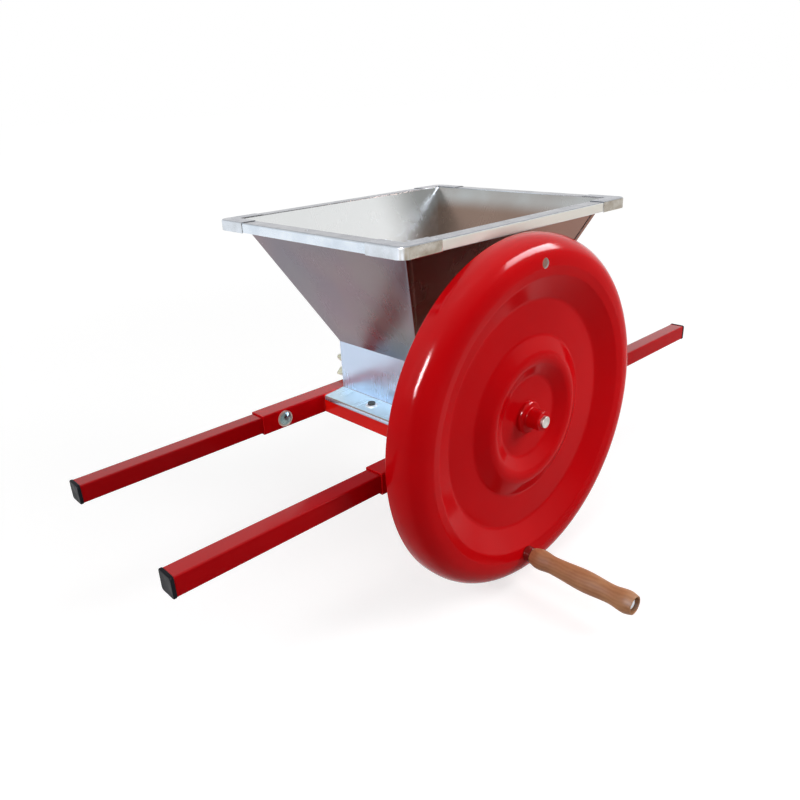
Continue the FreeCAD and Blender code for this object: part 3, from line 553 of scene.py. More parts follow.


# ---------------------------------------------------------------- arm lock bolts
# Round head bolts through rail and arm, each with two wide washers and a nut. Pulled tight, they
# hold the arm where it was slid to. Zinc plated, the nuts blue; the heads' dark teal is painted reflection.
bolt_points = 48
thread_depth_share = 0.54
lock_d = 0.008
lock_pitch = 0.00125
lock_seat = 0.0016
lock_washer_d = 0.025
lock_head_d = 0.020
lock_head = 0.0046
lock_nut_across = 0.013
lock_nut = 0.0065
lock_thread = 0.014
lock_tip = 0.0025
lock_neck = 0.0003
thread_runout = 0.0005
nut_lead = 0.0004

zinc = flecked("zinc_plating", 90.0, 5.0, (0.50, 0.56, 0.60), (0.72, 0.74, 0.76), (150.0, 0.20, 0.40, 6.0),
               (900.0, 3.0, 0.00003, 0.5), metallic=0.85)
# Painted reflection: the dark teal of the bolt heads stands for what their domes reflect.
teal_reflection_lock_steel = flecked("dulled_lock_steel", 160.0, 3.0, (0.13, 0.20, 0.21), (0.30, 0.39, 0.38),
                     (200.0, 0.22, 0.36), metallic=0.9)
warm_zinc = flecked("warm_zinc", 180.0, 3.0, (0.60, 0.56, 0.48), (0.74, 0.70, 0.61), (200.0, 0.28, 0.45),
                    metallic=0.8)


def circle(radius, y):
    """Points of a circle about the Y axis."""
    turns = [tau * step / bolt_points for step in range(bolt_points)]
    return [Vector((radius * cos(turn), y, radius * sin(turn))) for turn in turns]


def circles(*sizes):
    return [circle(radius, y) for radius, y in sizes]


def hexagon(across, y, chamfer=False, towards=1):
    """Points of a hexagon about the Y axis; a chamfered one is turned round at its outer face."""
    points = []
    limit = across / 2 * 1.03
    for step in range(bolt_points):
        turn = tau * step / bolt_points
        from_flat = (turn + pi / 6) % (pi / 3) - pi / 6
        reach = across / 2 / cos(from_flat)
        over = max(reach - limit, 0) * tan(radians(30))
        radius = min(reach, limit) if chamfer else reach
        along = y if chamfer else y - towards * over
        points.append(Vector((radius * cos(turn), along, radius * sin(turn))))
    return points


def hex_loops(across, y0, y1):
    """Loops of a hexagonal head or nut, both faces chamfered."""
    return [hexagon(across, y0, True), hexagon(across, y0, towards=-1), hexagon(across, y1),
            hexagon(across, y1, True)]


def thread_loops(diameter, pitch, y0, y1):
    """Loops of a right hand screw thread from y0 to y1, with a short lead at y0."""
    depth = pitch * thread_depth_share
    steps = max(int(round((y1 - y0) / pitch * 6)), 2)
    loops = [circle(diameter / 2 - depth, y0)]
    for step in range(steps + 1):
        y = y0 + (y1 - y0) * step / steps
        lead = min((y - y0) / pitch, 1.0)
        loop = []
        for point in circle(1.0, y):
            share = (y / pitch - atan2(point.z, point.x) / tau) % 1.0
            radius = diameter / 2 - depth * (1 - (1 - abs(2 * share - 1)) * lead)
            loop.append(Vector((point.x * radius, y, point.z * radius)))
        loops.append(loop)
    return loops


set_out, given = new_group("set_out", "GeometryNodeTree",
                           {"Geometry": "Geometry", "Pattern": "Object", "Finish": "Material"}, "Geometry")
pattern = put(set_out, "GeometryNodeObjectInfo", {"Object": given["Pattern"]}, transform_space="ORIGINAL")
turn_field = put(set_out, "GeometryNodeInputNamedAttribute", {"Name": "turn"}, data_type="FLOAT_VECTOR")
turned_by = put(set_out, "FunctionNodeEulerToRotation", {0: turn_field})
close_group(set_out, given, put(set_out, "GeometryNodeInstanceOnPoints", {
    "Points": given["Geometry"], "Instance": pattern.outputs["Geometry"], "Rotation": turned_by}))


def lay_out(name, pattern, places, finish):
    """Copies the pattern to each place, a point with its turn, and throws the pattern away."""
    mesh = bpy.data.meshes.new(name)
    mesh.from_pydata([point for point, turn in places], [], [])
    turns = mesh.attributes.new("turn", "FLOAT_VECTOR", "POINT")
    for mark, (point, turn) in zip(turns.data, places):
        mark.vector = turn
    group = new_object(name, mesh)
    grow(group, set_out, pattern=pattern, finish=finish)
    bpy.data.objects.remove(pattern)
    return group


def washer(name, outer, bore, thick, finish):
    """Stamped washer from y = 0 to thick, its outer edge rounded on the far side."""
    edge = thick * 0.3
    outer = outer / 2
    bore = bore / 2
    loops = circles((bore + edge / 2, 0), (outer - edge / 3, 0), (outer, edge / 3), (outer, thick - edge),
                    (outer - edge * 0.3, thick - edge * 0.3), (outer - edge, thick), (bore + edge / 2, thick),
                    (bore, thick - edge / 2), (bore, edge / 2))
    return skin(name, loops, finish, ring=True)


def nut(name, across, height, bore, finish):
    """Hexagon nut from y = -height to 0."""
    bore = bore / 2
    thread = circles((bore + nut_lead, 0), (bore, -nut_lead), (bore, -height + nut_lead),
                     (bore + nut_lead, -height))
    return skin(name, hex_loops(across, -height, 0) + thread, finish, ring=True)


low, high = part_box("rail_crank_side")
rail_half = (high.y - low.y) / 2
lock_end = lock_seat + 2 * rail_half + lock_seat + lock_nut + lock_tip
ball_r = (lock_head_d ** 2 / 4 + lock_head ** 2) / (2 * lock_head)
loops = thread_loops(lock_d, lock_pitch, -lock_end, -lock_end + lock_thread)
loops += circles((lock_d / 2, -lock_end + lock_thread + thread_runout), (lock_d / 2, -lock_neck),
                 (lock_d / 2 + lock_neck, 0), (lock_head_d / 2 - 0.0002, 0), (lock_head_d / 2, lock_neck))
for step in range(1, 11):
    fall = asin(lock_head_d / 2 / ball_r) * (1 - step / 10.5)
    loops.append(circle(ball_r * sin(fall), lock_head - ball_r * (1 - cos(fall))))
head_places = []
face_places = []
far_places = []
for side, turn, way in (("crank", Z * 0, Y), ("gear", Z * pi, -Y)):
    start, end, half = ends_of("rail_" + side + "_side", X)
    for point in (start + X * lock_bolt_inset, end - X * lock_bolt_inset):
        face = point + way * rail_half
        head_places.append((face + way * lock_seat, turn))
        face_places.append((face, turn))
        far_places.append((point - way * (rail_half + lock_seat), turn))
bolts = lay_out("round_head_lock_bolts", skin("pattern", loops, teal_reflection_lock_steel), head_places, teal_reflection_lock_steel)
keep_off(left_strip, bolts)
fit(bolts, "zinc_plated_steel", "arm_lock_bolts")
pattern = washer("pattern", lock_washer_d, lock_hole, lock_seat, warm_zinc)
fit(lay_out("wide_lock_washers", pattern, face_places + far_places, warm_zinc), "zinc_plated_steel",
    "arm_lock_washers")
pattern = nut("pattern", lock_nut_across, lock_nut, lock_d, zinc)
fit(lay_out("lock_nuts", pattern, far_places, zinc), "zinc_plated_steel", "arm_lock_nuts")


# ---------------------------------------------------------------- hopper
# Four panels of 1 mm stainless sheet, cut and folded. The end panels run down to feet that sit on
# the cross bars, and lap round the corners, where they are spot welded to the side panels.
sheet = 0.001
# Painted reflection: the outer faces of the slopes take dark mauve, taupe and slate for the shaded floor they
# mirror, and the outer face of the crank side panel a brown for the back of the red wheel.
underside_reflection_mauve = (0.235, 0.155, 0.195)
underside_reflection_taupe = (0.235, 0.205, 0.200)
underside_reflection_slate = (0.150, 0.155, 0.200)
underside_reflection_brown = (0.200, 0.090, 0.060)
wall_blue_reflection = (0.600, 0.720, 0.900)
inner_light = (0.600, 0.640, 0.645)
inner_brown = (0.470, 0.440, 0.415)
# Painted light inside the hopper: a near white painted highlight, a grey painted shade and an umber painted
# shade.
inner_painted_highlight = (0.980, 1.000, 1.000)
inner_painted_shade = (0.330, 0.340, 0.335)
inner_painted_depth_shade = (0.330, 0.235, 0.190)
flange_blue_reflection = (0.610, 0.810, 0.880)
row_spacing = 0.008

stainless, tree = new_material("stainless_sheet")
# Painted reflection on the faces turned down, brown on those turned to the crank side.
under = mix_colour(tree, patches(tree, 6.5, detail=2.0), underside_reflection_taupe, underside_reflection_mauve)
under = mix_colour(tree, patches(tree, 5.0, -0.4, 0.9, 2.0), under, underside_reflection_slate)
under = mix_colour(tree, facing(tree, "Y", -0.8, -0.4, 1.0, 0.0), under, underside_reflection_brown)
spot = split(tree, where(tree))
# Painted light on the inner face of the gear side panel: a near white painted highlight on its left part that
# fades along X into painted shade on its right.
painted_shade_ramp = ramp(tree, spot["X"], 0.04, 0.16, curve="SMOOTHSTEP")
# Painted shade: below a band along the top, the inner faces other than the gear side panel's turn umber.
deep = ramp(tree, spot["Z"], 0.289, 0.264, curve="SMOOTHSTEP")
inner = mix_colour(tree, patches(tree, 9.0), inner_brown, inner_light)
inner = mix_colour(tree, deep, inner, inner_painted_depth_shade)
inner = mix_colour(tree, facing(tree, "Y", -0.8, -0.5, 1.0, 0.0), inner,
                   mix_colour(tree, painted_shade_ramp, inner_painted_highlight, inner_painted_shade))
# Painted reflection: a pale blue on upright walls and a brighter blue on faces turned up.
tint = mix_colour(tree, facing(tree, "Z", -0.25, -0.05), under, wall_blue_reflection)
tint = mix_colour(tree, facing(tree, "Z", 0.1, 0.3), tint, inner)
tint = mix_colour(tree, facing(tree, "Z", 0.7, 0.95), tint, flange_blue_reflection)


def stretched(tree, vector, scale):
    """Fine mottle drawn out into lines."""
    return patches(tree, 1.0, vector=put(tree, "Mapping", {"Vector": vector, "Scale": scale}))


lines = stretched(tree, where(tree, "UV"), (700.0, 5.0, 1.0))
dull = calc(tree, "ADD", patches(tree, 17.0, 0.21, 0.29), calc(tree, "MULTIPLY", lines, 0.02))
# Metallic is lowered on upright walls and more on faces turned up, so that their painted reflection tints
# show as plain colour.
scatter = calc(tree, "MULTIPLY", facing(tree, "Z", -0.25, -0.05, 1.0, 0.7),
               facing(tree, "Z", 0.7, 0.95, 1.0, 0.5))
mouth = calc(tree, "MULTIPLY", facing(tree, "Z", 0.1, 0.3), facing(tree, "Z", 0.7, 0.8, 1.0, 0.0))
shade(tree, tint, dull, metallic=calc(tree, "MAXIMUM", scatter, mouth))


def bent_rows(corners, spacing):
    """Rows (point, half width, slack) along straight runs joined by arcs; slack is 0 at a fold."""
    rows = []
    for i, (out, up, bend, half) in enumerate(corners):
        here = Vector((out, up))
        arc = [here]
        if bend:
            before = (Vector(corners[i - 1][:2]) - here).normalized()
            after = (Vector(corners[i + 1][:2]) - here).normalized()
            half_angle = before.angle(after) / 2
            heart = here + (before + after).normalized() * bend / sin(half_angle)
            first = here + before * bend / tan(half_angle) - heart
            last = here + after * bend / tan(half_angle) - heart
            sweep = pi - 2 * half_angle
            shares = [step / corner_steps for step in range(corner_steps + 1)]
            arc = [heart + (first * sin((1 - share) * sweep) + last * sin(share * sweep)) / sin(sweep)
                   for share in shares]
        if rows:
            start, start_half, slack = rows[-1]
            run = arc[0] - start
            count = max(int(round(run.length / spacing)), 1)
            for share in (step / count for step in range(1, count)):
                between = start_half + (half - start_half) * share
                rows.append((start + run * share, between, 4 * share * (1 - share)))
        rows.extend((point, half, 0.0) for point in arc)
    return rows


def joined(shape, grid):
    """Faces between the rows of a grid, where all four corners are there."""
    for near, far in zip(grid, grid[1:]):
        for i in range(len(near) - 1):
            ring = (near[i], near[i + 1], far[i + 1], far[i])
            if None not in ring:
                shape.faces.new(ring)


def thicken(piece, thick, offset, even=True):
    wall = piece.modifiers.new("sheet", "SOLIDIFY")
    wall.thickness = thick
    wall.offset = offset
    wall.use_even_offset = even


def folded(name, corners, middle, outwards, finish, thick, inside=False, columns=44, swell=0.0, lap=None):
    """Folded sheet; corners are (out, up, bend, half width) from middle, and lap its corner flanges."""
    sideways = Z.cross(outwards)
    shape = bmesh.new()
    grid = []
    sheet_run = {}
    length = 0.0
    last = None
    for point, half, slack in bent_rows(corners, row_spacing):
        length += (point - last).length if last else 0.0
        last = point
        width = lap(point.y) if lap else 0.0
        lap_bend = 0.0012 if width else 0.0
        line = []
        for step in range(columns + 1):
            across = 2 * step / columns - 1
            line.append((0.0, across * (half - lap_bend), slack * (1 - across ** 2)))
        if width:
            for step in range(1, 4):
                turn = pi / 2 * step / 3
                inwards = lap_bend * (cos(turn) - 1)
                beside = half - lap_bend + lap_bend * sin(turn)
                line = [(inwards, -beside, 0.0)] + line + [(inwards, beside, 0.0)]
            line = [(-width, -half, 0.0)] + line + [(-width, half, 0.0)]
        elif lap:
            line = [None] * 4 + line + [None] * 4
        row = []
        for cell in line:
            if cell:
                inwards, beside, loose = cell
                at = middle + outwards * (point.x + inwards) + sideways * beside + Z * point.y
                cell = shape.verts.new(at + outwards * swell * loose * noise.noise(at * 9.0))
                sheet_run[cell] = (beside - copysign(inwards, beside), length)
            row.append(cell)
        grid.append(row)
    joined(shape, grid)
    layer = shape.loops.layers.uv.new("sheet_run")
    for face in shape.faces:
        for corner in face.loops:
            corner[layer].uv = sheet_run[corner.vert]
    shape.normal_update()
    shape.faces.ensure_lookup_table()
    normal = shape.faces[len(shape.faces) // 12].normal
    if normal.dot(outwards) < 0 and abs(normal.z) < 0.9 or normal.z < -0.9:
        bmesh.ops.reverse_faces(shape, faces=shape.faces)
    made = built(name, shape, finish)
    thicken(made, thick, -1.0 if inside else 1.0)
    return made


def box_middle(node):
    low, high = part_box(node)
    return (low + high) / 2


throat_low, throat_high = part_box("hopper_panel_crank_side")
gear_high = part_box("hopper_panel_gear_side")[1]
rail_low, rail_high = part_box("rail_crank_side")
hopper_middle = Vector((0, (throat_low.y + gear_high.y) / 2, 0))
rim_under = throat_high.z
throat_top = 0.1075
throat_bottom = throat_low.z
mouth_x = throat_high.x
mouth_y = gear_high.y - hopper_middle.y - sheet
throat_x = 0.1085
throat_y = 0.084
seat_height = rail_high.z
foot_overhang = 0.0025
foot_fold = box_middle("cross_bar_right").x + (rail_high.z - rail_low.z) / 2 + foot_overhang
foot_lip = 0.007
foot_taper = 0.007
throat_bend = 0.0025
foot_bend = 0.002
foot_edge = 0.0012
lap_top = 0.010
lap_bottom = 0.0025
slope_length = rim_under - throat_top


def lap_width(height):
    """Width of the tapered corner lap at a height on the slope."""
    if height < throat_top + sheet:
        return 0.0
    return lap_bottom + (lap_top - lap_bottom) * (height - throat_top) / slope_length


half = throat_y + 2 * sheet
corners = [(mouth_x, rim_under, 0, mouth_y + sheet), (throat_x, throat_top, throat_bend, half),
           (throat_x, seat_height, foot_bend, half), (foot_fold, seat_height, foot_edge, half - foot_taper),
           (foot_fold, seat_height + sheet - foot_lip, 0, half - foot_taper)]
for side, outwards in (("left", -X), ("right", X)):
    panel = folded("hopper_end_" + side, corners, hopper_middle, outwards, stainless, sheet, swell=0.0012,
                   lap=lap_width)
    fit(panel, "stainless_sheet", "hopper_panel_" + side)

bush_flange_r = 0.015
low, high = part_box("wall_bushes")
bush_centres = (low.x + bush_flange_r, high.x - bush_flange_r)
shaft_height = (low.z + high.z) / 2
bush_spigot = 0.024
corners = [(mouth_y, rim_under, 0, mouth_x), (throat_y, throat_top, throat_bend, throat_x),
           (throat_y, throat_bottom, 0, throat_x)]
for side, outwards in (("crank", -Y), ("gear", Y)):
    panel = folded("hopper_side_" + side, corners, hopper_middle, outwards, stainless, sheet, swell=0.0010)
    wall_at = hopper_middle + outwards * throat_y + Z * shaft_height
    cut(panel, *[rod(wall_at + X * x, Y, bush_spigot, 20 * sheet) for x in bush_centres])
    keep_off(left_strip, panel)
    if side == "gear":
        keep_off(front_strip, panel)
    fit(panel, "stainless_sheet", "hopper_panel_" + side + "_side")


# ---------------------------------------------------------------- hopper seams
# Spot welds down each lapped corner of the stainless panels, every one a small round dent with a
# faint lip where the electrode pressed the two sheets together.
spot_d = 0.0055
spot_from_edge = 0.009
spot_shares = (0.18, 0.50, 0.82)

loops = circles((spot_d / 2, -0.0003), (spot_d / 2, 0.00002), (spot_d / 2 - 0.0003, 0.00012),
                (spot_d / 2 - 0.0007, 0.00012), (spot_d / 2 - 0.0011, 0.00002), (spot_d / 8, 0.00001))
spot_places = []
lean = atan2(mouth_x - throat_x, slope_length)
for side in (-1, 1):
    normal = Vector((side * cos(lean), 0, -sin(lean)))
    turn = Vector(Y.rotation_difference(normal).to_euler())
    for way in (-1, 1):
        for share in spot_shares:
            out = throat_x + (mouth_x - throat_x) * share
            beside = throat_y + (mouth_y - throat_y) * share - spot_from_edge
            point = Vector((side * out, hopper_middle.y + way * beside, throat_top + slope_length * share))
            spot_places.append((point + normal * sheet, turn))
spots = lay_out("corner_spot_welds", skin("pattern", loops, stainless), spot_places, stainless)
fit(spots, "stainless_sheet", body=body_of["hopper_panel_left"])


# ---------------------------------------------------------------- throat guides
# Two plates of stainless sheet, each folded once, inside the throat against its end walls. Their
# lower legs slope in and lead the fruit onto the rollers.
def dressed(name, node, finish, slot, edge):
    """Piece in the shape of its CAD node, as one welded mesh with its sharp edges broken."""
    shape = bmesh.new()
    shape.from_mesh(frame["nodes"][node].data)
    bmesh.ops.remove_doubles(shape, verts=shape.verts, dist=1e-6)
    bmesh.ops.dissolve_limit(shape, angle_limit=radians(0.5), verts=shape.verts, edges=shape.edges)
    made = built(name, shape, finish)
    bevel = made.modifiers.new("broken_edges", "BEVEL")
    bevel.width = edge
    bevel.segments = 2
    bevel.limit_method = "ANGLE"
    bevel.angle_limit = sharp_edge
    fit(made, slot, node)


for side in ("left", "right"):
    dressed("fruit_guide_" + side, "throat_guide_" + side, stainless, "stainless_sheet", 0.0002)


# ---------------------------------------------------------------- hopper rim
# Four strips of brighter stainless folded round the mouth: a flat top, a short drop and a hem. A
# small hole is drilled in the middle of each end strip.
rim_flange = 0.0228
rim_bend = 0.0025
rim_hem = 0.007
rim_hem_bend = 0.0014
rim_hole = 0.005
rim_hole_inset = 0.0076

bright_sheet, tree = new_material("bright_stainless")
# Painted reflection: bluish white on the drops, a warm grey on faces turned to the crank side and dark grey
# on the top faces, so the rim's brightness is partly polish and partly painted; faces turned to the crank
# side are also rougher and less metallic.
tone = mix_colour(tree, patches(tree, 30.0, detail=5.0), (0.64, 0.72, 0.81), (0.80, 0.87, 0.95))
tone = mix_colour(tree, facing(tree, "Y", -0.95, -0.4, 1.0, 0.0), tone, (0.66, 0.64, 0.58))
tone = mix_colour(tree, facing(tree, "Z", 0.75, 0.95), tone, (0.33, 0.34, 0.375))
streaks = stretched(tree, where(tree), (70.0, 70.0, 400.0))
dull = calc(tree, "ADD", patches(tree, 40.0, 0.14, 0.26, 4.0), calc(tree, "MULTIPLY", streaks, 0.06))
dull = calc(tree, "ADD", dull, facing(tree, "Y", -0.95, -0.4, 0.15, 0.0))
shade(tree, tone, dull, metallic=facing(tree, "Y", -0.95, -0.4, 0.5, 1.0),
      normal=relief(tree, streaks, 0.00002, 0.4))

low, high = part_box("rim_strip_left")
rim_top = high.z
rim_bottom = low.z
rim_x = -low.x
end_run = (high.y - low.y) / 2
low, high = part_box("rim_strip_gear_side")
rim_y = high.y - hopper_middle.y
side_run = (high.x - low.x) / 2
for side, outwards, reach, run in (("left", -X, rim_x, end_run), ("right", X, rim_x, end_run),
                                   ("crank_side", -Y, rim_y, side_run), ("gear_side", Y, rim_y, side_run)):
    corners = [(reach - rim_flange, rim_top, 0, run), (reach, rim_top, rim_bend, run),
               (reach, rim_bottom, rim_hem_bend, run), (reach - rim_hem, rim_bottom, 0, run)]
    strip = folded("rim_fold_" + side, corners, hopper_middle, outwards, bright_sheet, sheet, inside=True,
                   columns=60)
    if run == end_run:
        hole_at = hopper_middle + outwards * (reach - rim_flange + rim_hole_inset) + Z * rim_top
        cut(strip, rod(hole_at, Z, rim_hole, 8 * sheet))
    keep_off(front_strip, strip)
    fit(strip, "polished_stainless", "rim_strip_" + side)


# ---------------------------------------------------------------- rim corner caps
# Pressed caps that wrap the four corners of the rim. The sheet gathers into a few upright creases
# where it was drawn round the corner.
cap_leg = 0.062
cap_radius = 0.015
cap_sheet = 0.0008
cap_hang = 0.0006
crease_depth = 0.0008
crease_run = 0.008
creases = 7

cap_metal, tree = new_material("handled_stainless")
tone = mix_colour(tree, patches(tree, 45.0, detail=5.0), (0.56, 0.60, 0.64), (0.74, 0.80, 0.88))
# Painted reflection: a warm brown grey on faces turned to the crank side and to the right, and a dark grey on
# the top faces.
painted_warm_reflection = mix_colour(tree, patches(tree, 70.0, detail=4.0), (0.30, 0.255, 0.200), (0.50, 0.47, 0.42))
tone = mix_colour(tree, facing(tree, "Y", -0.9, -0.4, 1.0, 0.0), tone, painted_warm_reflection)
tone = mix_colour(tree, facing(tree, "X", 0.4, 0.9), tone, painted_warm_reflection)
tone = mix_colour(tree, facing(tree, "Z", 0.75, 0.95), tone, (0.36, 0.375, 0.42))
shade(tree, tone, patches(tree, 60.0, 0.16, 0.32, 4.0), metallic=1.0,
      normal=relief(tree, patches(tree, 160.0), 0.00012, 0.4))

full_leg = cap_leg + cap_sheet
cap_top = rim_top + cap_sheet
cap_bottom = rim_bottom - cap_hang
section = [(0.0, cap_bottom)]
section += [(0.0, cap_bottom + (cap_top - rim_bend - rim_bottom) * (step + 1) / 9) for step in range(9)]
for step in range(1, 7):
    turn = pi / 2 * step / 6
    section.append((rim_bend - rim_bend * cos(turn), cap_top - rim_bend * (1 - sin(turn))))
section += [(rim_bend + (rim_flange + cap_sheet - rim_bend) * step / 6, cap_top) for step in range(1, 7)]
for side_name, side in (("left", -1), ("right", 1)):
    for way_name, way in (("crank", -1), ("gear", 1)):
        corner = Vector((side * (rim_x + cap_sheet), hopper_middle.y + way * (rim_y + cap_sheet), 0))
        to_x = X * -side
        to_y = Y * -way
        shape = bmesh.new()
        grid = []
        for inset, up in section:
            radius = max(cap_radius - inset, 0.0)
            heart = max(cap_radius, inset)
            line = []
            for step in range(12):
                line.append(to_x * (full_leg - (full_leg - heart) * step / 12) + to_y * inset)
            for step in range(17):
                turn = pi / 2 * step / 16
                gather = sin(pi * step / 16) * (0.5 + 0.5 * sin(tau * creases * step / 32 + 1.1))
                drop = min(max((rim_top - up) / crease_run, 0.0), 1.0)
                near = max(radius - crease_depth * gather * drop, 0.0)
                line.append(to_x * (heart - near * sin(turn)) + to_y * (heart - near * cos(turn)))
            for step in range(1, 13):
                line.append(to_x * inset + to_y * (heart + (full_leg - heart) * step / 12))
            grid.append([shape.verts.new(corner + point + Z * up) for point in line])
        joined(shape, grid)
        bmesh.ops.remove_doubles(shape, verts=shape.verts, dist=1e-6)
        shape.normal_update()
        shape.faces.ensure_lookup_table()
        if shape.faces[0].normal.dot(to_x + to_y) > 0:
            bmesh.ops.reverse_faces(shape, faces=shape.faces)
        cap = built("pressed_corner_" + side_name + "_" + way_name, shape, cap_metal)
        thicken(cap, cap_sheet * 0.95, -1.0, even=False)
        keep_off(front_strip, cap)
        fit(cap, "polished_stainless", "rim_corner_" + side_name + "_" + way_name)


# ---------------------------------------------------------------- foot bolts
# One small hexagon bolt with a wide washer and a nut in each foot of the hopper, through the top
# wall of the cross bar. The bolts are dark and the washers pale.
low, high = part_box("foot_washers")
foot_washer_d = 0.018
foot_washer = 0.0016
foot_washer_bore = 0.0065
foot_d = 0.006
foot_pitch = 0.001
foot_length = 0.014
foot_shank = 0.004
foot_across = 0.010
foot_head = 0.004
foot_nut = 0.005
head_centre = 0.0005


def hex_bolt(name, diameter, pitch, tip, shank, across, head, finish):
    """Hexagon bolt with its head on y = 0, a plain shank below it and its thread down to tip."""
    loops = thread_loops(diameter, pitch, tip, -shank)
    loops += circles((diameter / 2, thread_runout - shank), (diameter / 2, 0))
    return skin(name, loops + hex_loops(across, 0.0001, head) + circles((head_centre, head)), finish)


foot_steel = flecked("weathered_foot_steel", 300.0, 3.0, (0.035, 0.036, 0.034), (0.10, 0.10, 0.095),
                     (200.0, 0.35, 0.55), metallic=0.8)
pale_zinc = flecked("pale_zinc", 220.0, 3.0, (0.78, 0.80, 0.82), (0.93, 0.95, 0.96), (200.0, 0.35, 0.50),
                    metallic=0.3)
foot_reach = high.x - foot_washer_d / 2
foot_y = box_middle("foot_washers").y
bolt = hex_bolt("pattern", foot_d, foot_pitch, -foot_length, foot_shank, foot_across, foot_head, foot_steel)
disc = washer("pattern", foot_washer_d, foot_washer_bore, foot_washer, pale_zinc)
lock = nut("pattern", foot_across, foot_nut, foot_d, zinc)
for kind, pattern, finish, height in (("bolts", bolt, foot_steel, low.z + foot_washer),
                                      ("washers", disc, pale_zinc, low.z),
                                      ("nuts", lock, zinc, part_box("foot_nuts")[1].z)):
    feet = [(Vector((x, foot_y, height)), X * pi / 2) for x in (-foot_reach, foot_reach)]
    fit(lay_out("hopper_foot_" + kind, pattern, feet, finish), "zinc_plated_steel", "foot_" + kind)


# ---------------------------------------------------------------- bearings and bushes
# Four blocks of pale nylon screwed to the rails carry the shafts, and four flanged nylon bushes
# line the holes in the throat.
nylon = flecked("nylon", 40.0, 3.0, (0.88, 0.90, 0.66), (0.92, 0.95, 0.80), (120.0, 0.34, 0.50),
                (800.0, 2.0, 0.00004, 0.5), subsurface_weight=0.15, subsurface_radius=(0.004, 0.004, 0.003))
for place in ("drive_crank", "drive_gear", "driven_crank", "driven_gear"):
    dressed("shaft_block_" + place, "bearing_" + place, nylon, "nylon", 0.0006)
dressed("block_screws", "bearing_screws", zinc, "zinc_plated_steel", 0.0003)
dressed("throat_bushes", "wall_bushes", nylon, "nylon", 0.0004)


# ---------------------------------------------------------------- shafts
# Two bright drawn steel bars. The drive shaft stands out of the flywheel hub, its end sawn off.
drawn_steel, tree = new_material("drawn_steel")
scores = stretched(tree, where(tree), (900.0, 30.0, 900.0))
tone = mix_colour(tree, patches(tree, 120.0, detail=5.0), (0.40, 0.37, 0.33), (0.60, 0.58, 0.55))
shade(tree, tone, patches(tree, 200.0, 0.28, 0.48), metallic=1.0, normal=relief(tree, scores, 0.00003, 0.6))
for shaft in ("drive", "driven"):
    dressed(shaft + "_bar", shaft + "_shaft", drawn_steel, "bright_steel", 0.0006)


# ---------------------------------------------------------------- rollers
# Two cast aluminium rollers with five rounded lobes, pressed on the shafts. The lobes of one run
# between the lobes of the other.
roller_mean = 0.035
roller_lobe = 0.004
roller_lobes = 5
roller_phase = radians(18)
roller_edge = 0.0015
roller_bore = 0.00803

lathe, given = new_group("turned_piece", "GeometryNodeTree",
                         {"Geometry": "Geometry", "Segments": 64, "Closed": 0, "Lobes": 0, "Lobe Height": 0.0,
                          "Phase": 0.0, "Centre": "Vector", "Finish": "Material"}, "Geometry")
outline = put(lathe, "GeometryNodeMeshToCurve", {0: given["Geometry"]})
bend = put(lathe, "GeometryNodeInputNamedAttribute", {"Name": "bend"}, data_type="FLOAT")
rounded = put(lathe, "GeometryNodeFilletCurve", {"Curve": outline, "Radius": bend, "Count": 9,
                                                 "Limit Radius": True}, mode="POLY")
domain = put(lathe, "GeometryNodeAttributeDomainSize", {0: rounded}, component="CURVE")
point_count = domain.outputs["Point Count"]
row_count = calc(lathe, "ADD", point_count, given["Closed"])
grid = put(lathe, "GeometryNodeMeshGrid", {"Vertices X": calc(lathe, "ADD", given["Segments"], 1),
                                           "Vertices Y": row_count})
index = put(lathe, "GeometryNodeInputIndex")
column = calc(lathe, "FLOOR", calc(lathe, "DIVIDE", calc(lathe, "ADD", index, 0.5), row_count))
row = calc(lathe, "SUBTRACT", index, calc(lathe, "MULTIPLY", column, row_count))
row = calc(lathe, "MODULO", row, point_count)
spot = put(lathe, "GeometryNodeSampleIndex", {"Geometry": rounded, "Index": row,
                                              "Value": put(lathe, "GeometryNodeInputPosition")},
           data_type="FLOAT_VECTOR")
lobed = put(lathe, "GeometryNodeInputNamedAttribute", {"Name": "lobed"}, data_type="FLOAT")
share = put(lathe, "GeometryNodeSampleIndex", {"Geometry": rounded, "Index": row, "Value": lobed},
            data_type="FLOAT")
angle = calc(lathe, "MULTIPLY", calc(lathe, "DIVIDE", column, given["Segments"]), tau)
beat = calc(lathe, "MULTIPLY", calc(lathe, "SUBTRACT", angle, given["Phase"]), given["Lobes"])
beat = calc(lathe, "COSINE", beat)
swell = calc(lathe, "MULTIPLY", calc(lathe, "MULTIPLY", beat, given["Lobe Height"]), share)
spot = split(lathe, spot)
radius = calc(lathe, "ADD", spot["X"], swell)
out_x = calc(lathe, "MULTIPLY", radius, calc(lathe, "COSINE", angle))
out_z = calc(lathe, "MULTIPLY", radius, calc(lathe, "SINE", angle))
around = put(lathe, "CombineXYZ", {"X": out_x, "Y": spot["Y"], "Z": out_z})
placed = put(lathe, "VectorMath", {0: around, 1: given["Centre"]}, operation="ADD")
moved = put(lathe, "GeometryNodeSetPosition", {"Geometry": grid, "Position": placed})
close_group(lathe, given, put(lathe, "GeometryNodeMergeByDistance", {"Geometry": moved, "Distance": 1e-6}))


